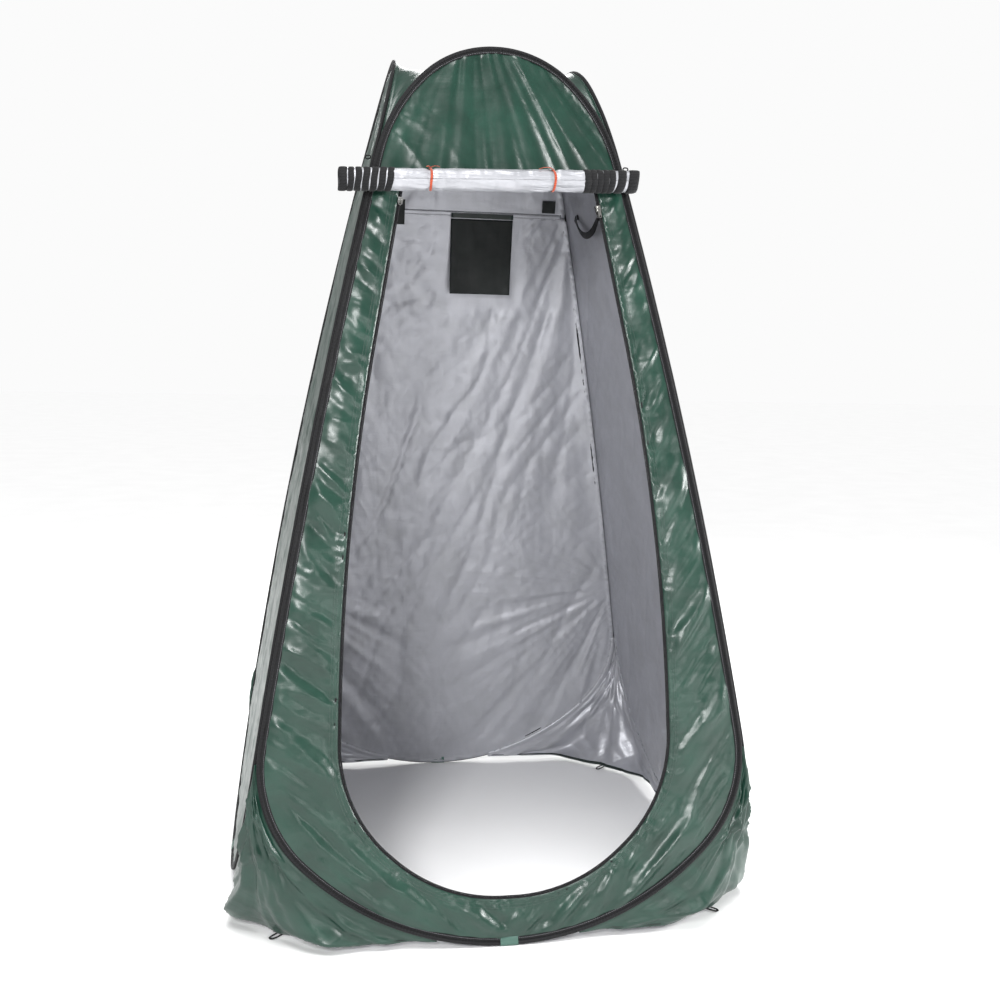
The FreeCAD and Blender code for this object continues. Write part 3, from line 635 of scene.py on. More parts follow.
ZIP_METAL = metal("zip_nickel_plate", rgb(178, 178, 176), rgb(216, 215, 210), 0.16)
WIRE = metal("spring_wire_blued", rgb(84, 86, 92), rgb(120, 122, 126), 0.28)
CRIMP = metal("ferrule_zinc", rgb(150, 152, 155), rgb(186, 187, 188), 0.32)


# ---- stitching -----------------------------------------------------------------------------
def stitches(name, lines, material, pitch=0.0042, length=0.0030, radius=0.00035):
    """Rows of sewn stitches: each line is (points, out) along a seam, lying on the cloth."""
    points, faces, uvs = [], [], []
    for line, out in lines:
        along = along_line(line)
        stations = np.arange(pitch / 2, along[-1] - pitch / 2, pitch)
        centre, normal = sample(line, along, stations), sample(out, along, stations)
        way = unit(sample(line, along, stations + 0.001) - centre)
        side = np.cross(normal, way)
        for c, w, s, n, at in zip(centre, way, side, normal, stations):
            first = len(points)
            for t, r in ((-0.5, 0.25), (-0.3, 1.0), (0.3, 1.0), (0.5, 0.25)):
                for a, b in ((1, 0), (0, 1), (-1, 0), (0, -0.6)):
                    points.append(c + w * (t * length) + (s * a * 1.2 + n * b) * (r * radius))
                    uvs.append((at + t * length, a * radius))
            for k in range(3):
                faces += ring_faces(first + k * 4, first + k * 4 + 4, 4)
            faces.append((first + 3, first + 2, first + 1, first))
            faces.append((first + 12, first + 13, first + 14, first + 15))
    return new_object(name, points, faces, [material], uvs=uvs)


def wall_row(flat, out, side="front"):
    """A stitch line from (x, z) points of a wall, lying out of its middle surface."""
    line, _, normal = wall_frames(flat, False)
    return turn_points(line + normal * out, side), turn_points(normal, side)


# ---- the camera ----------------------------------------------------------------------------
CAMERA_AT = (-0.4805, -2.9953, 1.229)
CAMERA_YAW, CAMERA_PITCH, CAMERA_ROLL = -0.1806, -0.111, 0.0213
CAMERA_LENS = 44.53       # millimetres on a 36 mm sensor
CAMERA_SHIFT = -0.0096


def build_camera():
    """The camera, at the angle from which the photograph was taken."""
    camera = bpy.data.objects.new("camera", bpy.data.cameras.new("camera"))
    bpy.context.scene.collection.objects.link(camera)
    level = math.cos(CAMERA_PITCH)
    forward = Vector((-math.sin(CAMERA_YAW) * level, math.cos(CAMERA_YAW) * level, math.sin(CAMERA_PITCH)))
    camera.rotation_mode = "QUATERNION"
    aim = forward.to_track_quat("-Z", "Y")
    camera.rotation_quaternion = aim @ Matrix.Rotation(CAMERA_ROLL, 3, "Z").to_quaternion()
    camera.location = CAMERA_AT
    camera.data.sensor_width = 36.0
    camera.data.lens = CAMERA_LENS
    camera.data.shift_y = CAMERA_SHIFT
    camera.data.clip_start = 0.05
    bpy.context.scene.camera = camera


build_camera()


# ---- hoops' bindings -----------------------------------------------------------------------
def build_binding(side):
    """Gathered black sleeve round the wire, the flat tape beside it, and the patch over the wire's joint."""
    flat = hoop_line(0.0, 0.006)
    line, across, out = (turn_points(v, side) for v in wall_frames(flat, True))
    seed = 10 * QUARTER[side]
    count = len(line)
    station = np.arange(count)
    ripple = perlin(station / 2.3, 0.5, seed + 3)
    sag = perlin(station / 9.0, 0.5, seed + 4)

    def sleeve_section(i):
        return [(a * (1 + 0.06 * ripple[i]), b * (1 + 0.05 * sag[i])) for a, b in ring(SLEEVE_R, 12)]

    sleeve = sweep("sleeve_" + side, line, across, out, sleeve_section, [BLACK_TAPE], True)
    place(sleeve, "binding_" + side)
    inward = inwards(line, across, line.mean(0))
    edge = 0.4 * perlin(station / 3.1, 0.5, seed + 5)

    def tape_section(i):
        far = TAPE_WIDTH + 0.0008 + 0.001 * edge[i]
        return [(a, b + 0.0004 * edge[i]) for a, b in slab(0.0034, far, 0.0018, 0.0002)]

    tape = sweep("seam_tape_cloth_" + side, line, inward, out, tape_section, [BLACK_TAPE], True)
    place(tape, "seam_tape_" + side)
    row = line + inward * (TAPE_WIDTH - 0.0022)
    rows = [(row + out * 0.0011, out), (row - out * 0.0011, -out)]
    thread = stitches("binding_stitches_" + side, rows, GREY_THREAD if side == "front" else BLACK_THREAD)
    carry(thread, side + "_panel")

    bottom = hoop_line(0.0, 0.002)
    bottom = bottom[np.abs(bottom[:, 0]) < PATCH_HALF + 0.001]
    bottom = bottom[bottom[:, 1] < 0.1]
    bottom = bottom[np.argsort(bottom[:, 0])]
    line, up, out = (turn_points(v, side) for v in up_frames(bottom))
    section = [(-PATCH_R * 0.97 * math.cos(t), PATCH_R * 0.97 * math.sin(t)) for t in np.linspace(-1.9, 1.9, 9)]
    section += [(0.0085, 0.0019), (0.0140, 0.0015), (0.0140, -0.0015), (0.0085, -0.0019)]
    patch = sweep("joint_patch_" + side, line, up, out, section, [PATCH_GREEN], False)
    place(patch, "binding_patch_" + side)


for side in QUARTER:
    build_binding(side)


# ---- walls ---------------------------------------------------------------------------------
EDGE_INSET = 0.0030       # the cloth reaches this near the wire's line
LINING_OUT = -0.0017      # and runs behind the seam tape, so that it covers it from inside
LINING_PAST = 0.0001      # on the other three sides it reaches the wire's line
LINING_DEEP = 0.0036      # and runs this much further in there, clear of the sleeve


def fade(away, width=0.035):
    """From 0 at a sheet's edge to 1 at a distance from it."""
    return smooth(away / width)


def nearest_on(points, line):
    """Each point's distance from an open line, and how far along the line that is."""
    best, place_at, passed = np.full(len(points), np.inf), np.zeros(len(points)), 0.0
    for a, b in zip(line, line[1:]):
        d = b - a
        long = math.sqrt(d @ d)
        t = np.clip(((points - a) @ d) / max(long * long, 1e-12), 0, 1)
        away = np.linalg.norm(points - a - t[:, None] * d, axis=1)
        closer = away < best
        best, place_at = np.where(closer, away, best), np.where(closer, passed + t * long, place_at)
        passed += long
    return best, place_at


def fan(x, z, foot_x, foot_z, spokes, along, seed, sharp=False):
    """Folds that radiate from one point of a wall."""
    turn = np.arctan2(x - foot_x, foot_z - z)
    reach = np.hypot(x - foot_x, foot_z - z)
    if sharp:
        return ridges(perlin(turn * spokes, reach / along, seed), -0.3, 3) - 0.25
    return (perlin(turn * spokes, reach / along, seed)
            + 0.45 * perlin(turn * spokes * 2.1, reach / along * 1.6, seed + 1))


def cap_relief(x, z, away):
    """Folds that fan out from the arch and die out above the header."""
    near_arch = np.exp(-away / 0.085)
    right = smooth(x, -0.02, 0.18)
    strength = np.clip(0.10 + 0.9 * near_arch + 0.8 * right * smooth(z, 1.60, 1.72), 0, 1.1)
    big = fan(x, z, -0.05, 2.06, 8, 0.6, 3)
    keen = fan(x, z, -0.05, 2.06, 11, 0.6, 4, sharp=True)
    angle = np.arctan2(x, z - 1.5)
    pucker = perlin(angle * 22, away * 12, 5) * np.exp(-away / 0.022) * smooth(z, 1.64, 1.70)
    low_left = creases(x, z, -50, 0.045, 0.30, 6) * smooth(-x, 0.03, 0.2) * smooth(1.80 - z, 0, 0.1)
    return (LINING_OUT + 0.006 * smooth(away / 0.13) + fade(away, 0.02) * strength * (0.0105 * big + 0.0045 * keen)
            + fade(away, 0.03) * 0.004 * low_left + fade(away, 0.005) * 0.0030 * pucker)


def strip_relief(x, z, away):
    """Slanting folds between the door's edge and the hoop, with rows of puckers along both."""
    flat = np.stack([x, z], axis=1)
    to_zip, at_zip = nearest_on(flat, STITCH_LINE)
    lower = smooth(0.40 - z, 0, 0.3)
    right = smooth(x, -0.09, 0.09)
    broad = (1 - right) * billows(x, z, -38, 0.050, 0.34, 11) + right * billows(x, z, 56, 0.048, 0.32, 12)
    foot = (1 - right) * billows(x, z, -42, 0.044, 0.34, 13) + right * billows(x, z, 48, 0.040, 0.32, 20)
    keen = (1 - right) * creases(x, z, -40, 0.06, 0.32, 14) + right * creases(x, z, 54, 0.06, 0.32, 15)
    short = billows(x, z, 12, 0.022, 0.06, 17)
    pucker = perlin(at_zip * 62, to_zip * 14, 16) * np.exp(-to_zip / 0.020)
    fine = perlin(at_zip * 150, to_zip * 30, 18) * np.exp(-to_zip / 0.009)
    to_edge = np.where(away < to_zip - 0.002, away, 1.0)
    gather = perlin(z * 45 + x * 20, away * 15, 19) * np.exp(-to_edge / 0.02)
    body = fade(away, 0.030) * ((1 - lower) * 0.0160 * broad + lower * 0.0210 * foot + 0.0060 * keen + 0.0014 * short)
    lift = LINING_OUT + 0.0023 * smooth(np.minimum(away / 0.02, 1.0) + np.where(to_zip < 0.03, 1.0, 0.0))
    return (lift + 0.004 * fade(away, 0.05) + body
            + fade(away, 0.004) * (0.0042 * pucker + 0.0012 * fine + 0.0022 * gather))


def lining_relief(seed, tilt=1.0, seam_z=None):
    """Relief of a plain wall: broad slack, long slanting creases and small crinkles."""
    def relief(x, z, away):
        broad = billows(x, z, 70 * tilt, 0.16, 0.55, seed)
        long_fold = creases(x, z, -62 * tilt, 0.10, 0.45, seed + 1)
        small = creases(x, z, -48 * tilt, 0.034, 0.12, seed + 3) + creases(x, z, 66 * tilt, 0.030, 0.10, seed + 4)
        hem = perlin(x * 16, z * 3, seed + 5) * smooth(0.30 - z, 0, 0.25)
        deep = LINING_DEEP * np.exp(-(away / 0.004) ** 2)
        if seam_z:
            deep = deep * (1 - np.exp(-((z - seam_z) / 0.012) ** 2))
        return (LINING_OUT + fade(away, 0.045) * (0.006 * broad + 0.004 * long_fold + 0.005 * hem)
                + fade(away, 0.02) * 0.0012 * small - deep)
    return relief


def calmed(relief, x0, x1, z0, z1):
    """A relief that lies flat inside a box of its wall, under a piece that hangs or swings there."""
    def quiet(x, z, away):
        outside = np.maximum(np.maximum(x0 - x, x - x1), np.maximum(z0 - z, z - z1))
        return relief(x, z, away) * smooth(outside, 0, 0.035)
    return quiet


def back_relief(x, z, away):
    """Folds that run down from the upper right corner as seen from the door, and others from the lower corners."""
    base = lining_relief(41, seam_z=BACK_SEAM_Z)(x, z, away)
    hung = fan(x, z, -0.31, 1.68, 7, 1.4, 42) * smooth(z, 0.75, 1.15) * smooth(0.22 - x, -0.05, 0.25)
    keen = fan(x, z, -0.31, 1.68, 9, 0.8, 43, sharp=True) * smooth(z, 0.45, 1.0) * smooth(0.25 - x, 0, 0.3)
    right_foot = fan(x, z, -0.50, 0.55, 8, 0.5, 44) * smooth(0.75 - z, 0, 0.3) * smooth(-x, -0.1, 0.25)
    left_foot = fan(x, z, 0.56, 0.62, 9, 0.5, 46) * smooth(0.65 - z, 0, 0.3) * smooth(x, 0.0, 0.3)
    rumple = creases(x, z, 12, 0.05, 0.14, 47) * smooth(z, 1.15, 1.4) * smooth(x, -0.05, 0.12)
    return base + fade(away, 0.03) * (0.0100 * hung + 0.0030 * keen + 0.011 * right_foot + 0.010 * left_foot
                                      + 0.0030 * rumple)


FLAP_ROOM = (-0.155, 0.045, 1.36, 1.80)     # where the flap hangs and lifts, in the back wall's x and z
STRAP_ROOM = (-0.06, 0.21, 1.44, 1.64)      # where the strap swings, in the right wall's x and z
ZIP_LAP = 0.0075          # the strip's cloth covers the zip tape this far in
STITCH_LINE = door_line(-0.004)


def close(left_to_right, other):
    """A closed line from two open ones that both run from left to right."""
    return np.vstack([left_to_right, other[::-1]])


def build_walls():
    """The cap and the U-shaped strip in front, and the plain walls round the other three sides."""
    cloth = [GREEN, SILVER]
    hoop = hoop_line(EDGE_INSET, 0.008)
    inner_hoop = hoop_line(LINING_PAST, 0.008)
    cap = panel("cap_front_cloth", part_of_loop(hoop, HEADER_Z, True), cap_relief, "front", cloth, step=0.0055, seed=1)
    place(cap, "cap_front")
    outline = close(part_of_loop(hoop, HEADER_Z, False), door_line(ZIP_LAP))
    strip = panel("strip_front_cloth", outline, strip_relief, "front", cloth, step=0.0055, seed=2)
    place(strip, "wall_front")
    back_cap = panel("cap_back_cloth", part_of_loop(inner_hoop, BACK_SEAM_Z, True),
                     calmed(lining_relief(31, seam_z=BACK_SEAM_Z), *FLAP_ROOM), "back", cloth, seed=3)
    place(back_cap, "cap_back")
    back = panel("wall_back_cloth", part_of_loop(inner_hoop, BACK_SEAM_Z, False),
                 calmed(back_relief, *FLAP_ROOM), "back", cloth,
                 step=0.0078, seed=4)
    place(back, "wall_back")
    left = panel("wall_left_cloth", inner_hoop, lining_relief(51, -1.0), "left", cloth, step=0.0105, seed=5)
    place(left, "wall_left")
    right = panel("wall_right_cloth", inner_hoop, calmed(lining_relief(61), *STRAP_ROOM), "right", cloth,
                  step=0.0095, seed=6)
    place(right, "wall_right")


build_walls()


# ---- roof and corner gussets ---------------------------------------------------------------
def grid_sheet(name, grid, materials, thickness=CLOTH_THICK):
    """A smooth sheet through a grid of points, its outer side away from the tent's middle."""
    rows, columns = grid.shape[:2]
    faces = [(i * columns + j, i * columns + j + 1, (i + 1) * columns + j + 1, (i + 1) * columns + j)
             for i in range(rows - 1) for j in range(columns - 1)]
    points = grid.reshape(-1, 3)
    corner = points[np.array(faces)]
    normal = np.cross(corner[:, 2] - corner[:, 0], corner[:, 3] - corner[:, 1])
    outward = corner.mean(axis=1) - np.array([0, 0, 0.8])
    if (normal * outward).sum() < 0:
        faces = [f[::-1] for f in faces]
    u = np.concatenate([np.zeros((rows, 1)), np.cumsum(np.linalg.norm(np.diff(grid, axis=1), axis=2), axis=1)], axis=1)
    v = np.concatenate([np.zeros((1, columns)), np.cumsum(np.linalg.norm(np.diff(grid, axis=0), axis=2), axis=0)])
    uvs = np.stack([u.ravel(), v.ravel()], axis=1)
    return thicken(new_object(name, points, faces, materials, uvs=uvs), thickness)


def grid_normals(grid):
    """The sheet's unit normal at each point of its grid."""
    normal = np.cross(np.gradient(grid, axis=1), np.gradient(grid, axis=0))
    return normal / np.maximum(np.linalg.norm(normal, axis=2), 1e-9)[..., None]


ROOF_CELLS = 48
ROOF_ROUNDS = 2600        # of averaging, until the cloth between the arches is taut


def build_roof():
    """Cloth stretched between the four arches, with folds that run in from the corners."""
    n = ROOF_CELLS
    fraction = np.linspace(0, 1, n + 1)
    arch = []
    for f in fraction:
        x, z = TOP.at(TOP.heading + (math.pi / 2 - TOP.heading) * (1 - abs(2 * f - 1)), 0.002)
        arch.append(((1 if f <= 0.5 else -1) * x, -float(wall_half(z)) + HOOP_INSET, z))
    arch = np.array(arch)
    grid = np.zeros((n + 1, n + 1, 3))
    grid[:, :] = (0, 0, TOP_Z - 0.08)
    grid[:, 0] = arch
    grid[n, :] = turn_points(arch, "right")
    grid[::-1, n] = turn_points(arch, "back")
    grid[0, ::-1] = turn_points(arch, "left")
    for _ in range(ROOF_ROUNDS):
        grid[1:-1, 1:-1] = (grid[:-2, 1:-1] + grid[2:, 1:-1] + grid[1:-1, :-2] + grid[1:-1, 2:]) / 4
    a, b = np.meshgrid(fraction, fraction, indexing="ij")
    edge = np.minimum(np.minimum(a, 1 - a), np.minimum(b, 1 - b))
    corner = np.minimum(np.hypot(np.minimum(a, 1 - a), np.minimum(b, 1 - b)), 0.7)
    bearing = np.arctan2(b - 0.5, a - 0.5)
    folds = 0.8 * perlin(bearing * 7, corner * 2.5, 71) + 0.5 * perlin(bearing * 15, corner * 4, 72)
    folds = folds * smooth(edge, 0, 0.12)
    grid = grid + grid_normals(grid) * (0.0022 * folds)[..., None]
    grid[..., 2] += 0.014 * smooth(edge, 0, 0.20) * (1 - 0.6 * smooth(edge, 0.2, 0.5))
    roof = grid_sheet("roof_cloth", grid, [GREEN, SILVER])
    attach(roof, "back_panel")
    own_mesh(roof)
    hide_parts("roof")


def gusset_grid(seed, rows=84, columns=56):
    """The loose corner cloth: from inside the front hoop, behind its sleeve, out and round to the left one."""
    first = FOOT.heading + GUSSET_START
    last = math.acos(GUSSET_SPREAD / FOOT.far_r)
    top_z, foot_z = FOOT.at(first)[1], FOOT.at(last)[1]
    grid = np.zeros((rows, columns, 3))
    t = np.linspace(0, 1, columns - 6)[:, None]
    for i, drop in enumerate(np.linspace(0, 1, rows)):
        angle = first + (last - first) * drop
        half = float(wall_half(FOOT.at(angle)[1]))
        past = 0.0040 + 0.0038 * float(smooth(np.array(drop), 0, 0.12))
        hidden = [on_front(*FOOT.at(angle, inset), out) for inset, out in
                  ((0.0062, -0.0032), (0.0020, -0.0050), (-0.0030, -0.0056))]
        start = on_front(*FOOT.at(angle, -past), -0.0030)
        end = start[[1, 0, 2]]
        seam_half = half + (GUSSET_HALF + FOOT_PROUD - float(wall_half(0.0))) * drop ** 2
        seam_z = GUSSET_FOOT_Z + (FOOT.at(angle)[1] - foot_z) * (top_z - GUSSET_FOOT_Z) / (top_z - foot_z)
        seam = np.array([-seam_half, -seam_half, seam_z])
        bend = 2 * seam - (start + end) / 2
        curve = start * (1 - t) ** 2 + bend * 2 * t * (1 - t) + end * t ** 2
        facets = np.where(t < 0.5, start + (seam - start) * 2 * t, seam + (end - seam) * (2 * t - 1))
        grid[i] = np.vstack([hidden, 0.25 * curve + 0.75 * facets, [p[[1, 0, 2]] for p in hidden[::-1]]])
    share = np.clip((np.arange(columns) - 3) / (columns - 7), 0, 1)
    drop, across = np.meshgrid(np.linspace(0, 1, rows), share, indexing="ij")
    held = smooth(np.minimum(across, 1 - across), 0, 0.12)
    swell = perlin(across * 4.5 + 0.6 * drop, drop * 1.7, seed) + 0.6 * perlin(across * 10, drop * 3.2, seed + 1)
    keen = ridges(perlin(across * 4 + drop * 2.5, drop * 2.2 - across, seed + 2), 0, 2)
    slant = ridges(perlin(across * 6 - drop * 4, drop * 3 + across, seed + 4), 0, 2)
    crumple = perlin(across * 15, drop * 10, seed + 3)
    low = smooth(drop, 0.55, 0.95)
    off_seam = 1 - 0.85 * np.exp(-((across - 0.5) / 0.05) ** 2)
    bulge = smooth(drop, 0.5, 0.95) * (np.exp(-((across - 0.28) / 0.13) ** 2) + np.exp(-((across - 0.72) / 0.13) ** 2))
    height = held * off_seam * (0.016 * swell * smooth(drop, 0, 0.5)
                                + (0.010 * keen + 0.009 * slant - 0.006) * smooth(drop, 0, 0.3)
                                + (0.002 + 0.004 * low) * crumple * smooth(drop, 0, 0.2) + 0.046 * bulge)
    height = height + 0.003 * smooth(drop, 0.02, 0.15) * np.exp(-((across - 0.5) / 0.014) ** 2)
    normal = grid_normals(grid)
    if (normal * grid * (1, 1, 0)).sum() < 0:
        normal = -normal
    normal[..., 2] *= 1 - smooth(drop, 0.75, 1.0)
    grid = grid + normal * height[..., None]
    hem = held[-1] * 0.006 * (0.5 + perlin(share * 9, 0.3, seed + 5))
    grid[..., 2] += hem * smooth(drop, 0.8, 1.0)
    grid[..., 2] = np.maximum(grid[..., 2], 0.0015)
    return grid


CORNERS = {"front_left": ("front", "front_panel", "left_panel"), "front_right": ("right", None, "right_panel"),
           "back_right": ("back", "back_panel", "right_panel"), "back_left": ("left", "left_panel", "back_panel")}


def follow(piece, side, near, far, slot="shell_green"):
    """Corner cloth between two panels: where the near one is given, its transform is baked into its mesh; otherwise it
    rides on the far one's body, with a mesh of its own.
    """
    if near:
        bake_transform(piece)
    else:
        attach(piece, far)
        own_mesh(piece)


def build_gussets():
    """The loose cloth of the four lower corners, each with a dark hem along the ground."""
    for number, (corner, (side, near, far)) in enumerate(CORNERS.items()):
        flat_grid = gusset_grid(80 + 9 * number)
        grid = turn_points(flat_grid.reshape(-1, 3), side).reshape(flat_grid.shape)
        piece = grid_sheet("gusset_cloth_" + corner, grid, [GREEN, SILVER])
        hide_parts("gusset_" + corner)
        follow(piece, side, near, far)
        edge = grid[-1, 3:-3] + (0, 0, 0.0036)
        lean = unit(grid[-4, 3:-3] - grid[-1, 3:-3])
        out = np.cross(unit(np.gradient(edge, axis=0)), lean)
        hem = sweep("gusset_hem_" + corner, edge, lean, out, slab(-0.0030, 0.0060, 0.0022, 0.0003), [DARK_GREEN], False)
        follow(hem, side, near, far)


build_roof()
build_gussets()


# ---- the zip -------------------------------------------------------------------------------
def build_zip():
    """Zip tape behind the strip's edge, the toothed coil, and two rows of stitches."""
    flat = door_line(0.0, step=0.005)
    line, across, out = wall_frames(flat, False)
    centre = on_front(np.zeros(1), np.array([0.8]))[0]
    inward = inwards(line, across, centre)
    tape = sweep("zip_tape_cloth", line, inward, out, [(a, b - 0.0006) for a, b in slab(0.0, ZIP_TAPE, 0.0009)],
                 [BLACK_TAPE], False)
    place(tape, "zip_tape")
    flat = door_line(0.0, step=0.0009)
    line, across, out = wall_frames(flat, False)
    inward = inwards(line, across, centre)
    tooth = 0.5 + 0.5 * np.cos(np.arange(len(line)) * math.pi * 0.6)

    def section(i):
        r = COIL_WIDTH / 2 * (0.80 + 0.20 * tooth[i])
        return [(ZIP_TAPE + COIL_WIDTH / 2 + a, b) for a, b in ring(r, 6)]

    coil = sweep("zip_coil_teeth", line, inward, out, section, [NYLON], False)
    place(coil, "zip_coil")
    rows = []
    for shift in (-0.0095, -0.0035, 0.0045):
        row = door_line(shift, top=HEADER_Z - 0.003)
        rise = strip_relief(row[:, 0], row[:, 1], np.full(len(row), ZIP_LAP - shift)) + 0.0007
        rows.append(wall_row(row, rise[:, None]))
    thread = stitches("door_edge_stitches", rows, GREEN_THREAD, radius=0.0005)
    carry(thread, "front_panel")


build_zip()


# ---- the rolled-up door --------------------------------------------------------------------
ROLL_LIFT = math.tan(ROLL_TILT)
ROLL_WAY = np.array([1.0, -float(wall_slope(ROLL_Z)) * ROLL_LIFT, ROLL_LIFT])
ROLL_START = on_front(0.0, ROLL_Z, ROLL_GAP + FABRIC / 2 + ROLL_R)
ROLL_UNIT = ROLL_WAY / np.linalg.norm(ROLL_WAY)
ROLL_ACROSS = np.cross(ROLL_UNIT, (0, 0, 1))
ROLL_ACROSS /= np.linalg.norm(ROLL_ACROSS)
ROLL_UP = np.cross(ROLL_ACROSS, ROLL_UNIT)


def on_roll(x, r, angle):
    """Points at x along the roll, r from its axis."""
    return (ROLL_START + np.outer(x, ROLL_WAY) + np.outer(r * np.cos(angle), ROLL_ACROSS)
            + np.outer(r * np.sin(angle), ROLL_UP))


def roll_skin(name, stations, radius, materials, count=96):
    """A closed round form along the roll, with a spiral on each end; radius(x, angle) is its size there."""
    angle = np.linspace(0, 2 * math.pi, count, endpoint=False)
    points, faces, uvs = [], [], []
    for x in stations:
        points.append(on_roll(x, radius(x, angle), angle))
        uvs.append(np.stack([np.full(count, x), angle * ROLL_R], axis=1))
    for i in range(len(stations) - 1):
        faces += ring_faces(i * count, (i + 1) * count, count)
    points, uvs = np.vstack(points), np.vstack(uvs)
    for x, first, way in ((stations[0], 0, 1), (stations[-1], (len(stations) - 1) * count, -1)):
        base = len(points)
        shares = np.linspace(1, 0, 24)[1:-1]
        rings, coords = [], []
        for share in shares:
            dent = way * 0.0035 * (0.5 - 0.5 * np.cos(angle + share * 9 * math.pi)) + way * 0.004 * (1 - share)
            r = radius(x, angle) * share
            rings.append(on_roll(x, r, angle) + np.outer(dent, ROLL_UNIT))
            coords.append(np.stack([x + r, angle * ROLL_R], axis=1))
        points, uvs = np.vstack([points] + rings), np.vstack([uvs] + coords)
        before = first
        for ring_number in range(len(shares)):
            after = base + ring_number * count
            for k in range(count):
                m = (k + 1) % count
                face = (before + k, after + k, after + m, before + m)
                faces.append(face if way < 0 else face[::-1])
            before = after
        face = tuple(before + k for k in range(count))
        faces.append(face if way < 0 else face[::-1])
    return new_object(name, points, faces, materials, uvs=uvs)


def roll_radius(x, angle):
    """The silver roll: pulled in at its ties, with star-shaped crinkles that fan out from them."""
    r = np.full_like(angle, ROLL_R - 0.0012)
    for number, tie in enumerate(TIE_XS):
        near = math.exp(-((x - tie) / 0.010) ** 2)
        r = r - 0.0030 * near
        reach = abs(x - tie)
        spokes = perlin(angle * 3.2, reach * 16, 101 + number) + 0.6 * perlin(angle * 8, reach * 30, 104 + number)
        r = r + 0.0034 * spokes * math.exp(-(reach / 0.055) ** 2) * smooth(reach, 0.0, 0.012)
    r = r + 0.0012 * perlin(x * 22 + 3 * angle, angle * 1.2, 110)
    step = ((angle - 0.9) % (2 * math.pi)) / (2 * math.pi)
    r = r - 0.0011 * smooth(step, 0.0, 0.02) * (1 - step)
    return np.minimum(r, ROLL_R + 0.0008)


def tape_ring(points, faces, uvs, x, width, lean, radius, thick, bow):
    """One loop of zip tape wound round the roll, leaning sideways by lean over the roll's height."""
    count = 72
    section = [(-width / 2, -thick), (-width / 2, -0.1 * thick), (-width * 0.3, bow), (0, bow * 1.2),
               (width * 0.3, bow), (width / 2, -0.1 * thick), (width / 2, -thick)]
    first, m = len(points), len(section)
    for k in range(count):
        angle = 2 * math.pi * k / count
        shift = lean * math.sin(angle) + 0.0006 * math.sin(3 * angle + x * 300)
        for a, b in section:
            r = radius + b + 0.00025 * math.sin(7 * angle + x * 900)
            at = x + a + shift
            points.append(ROLL_START + ROLL_WAY * at + ROLL_ACROSS * (r * math.cos(angle))
                          + ROLL_UP * (r * math.sin(angle)))
            uvs.append((angle * radius, a))
    for k in range(count):
        n = (k + 1) % count
        for s in range(m):
            t = (s + 1) % m
            faces.append((first + k * m + s, first + n * m + s, first + n * m + t, first + k * m + t))


def build_wound_end(name, node, x0, x1, bands):
    """Zip tape wound on one end of the roll: a silver core with black loops on it."""
    def core(x, angle):
        return np.full_like(angle, ROLL_CORE) + 0.0004 * perlin(x * 60, angle * 2, 120)

    stations = np.linspace(x0, x1, 40)
    inner = roll_skin(name + "_core", stations, core, [ROLL_SILVER])
    carry(inner, frame["nodes"][node]["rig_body"])
    points, faces, uvs = [], [], []
    for x, width, lean in bands:
        tape_ring(points, faces, uvs, x, width, lean, ROLL_R - 0.0012, 0.0016, 0.0009)
    wound = new_object(name, points, faces, [BLACK_TAPE], uvs=uvs)
    place(wound, node)


def build_door():
    """The rolled door: silver between its ties, with zip tape wound on both ends."""
    stations = np.linspace(ROLL_LEFT_SILVER, ROLL_RIGHT_SILVER, 210)
    roll = roll_skin("door_roll_cloth", stations, roll_radius, [ROLL_SILVER], count=128)
    place(roll, "door_roll")
    left = [(-0.343, 0.017, 0.001), (-0.3265, 0.0125, 0.002), (-0.3110, 0.0135, 0.0025), (-0.2945, 0.0145, 0.003),
            (-0.2775, 0.0140, 0.0035), (-0.2605, 0.0145, 0.004), (-0.2440, 0.0140, 0.0045)]
    right = [(0.1845, 0.0150, 0.0), (0.1985, 0.0135, 0.001), (0.2120, 0.0140, 0.001), (0.2255, 0.0135, 0.002),
             (0.2390, 0.0140, 0.003), (0.2600, 0.0190, 0.0045), (0.2870, 0.0230, 0.004)]
    build_wound_end("wound_tape_left", "door_tape_wound_left", ROLL_LEFT + 0.002, ROLL_LEFT_SILVER, left)
    build_wound_end("wound_tape_right", "door_tape_wound_right", ROLL_RIGHT_SILVER, ROLL_RIGHT - 0.002, right)


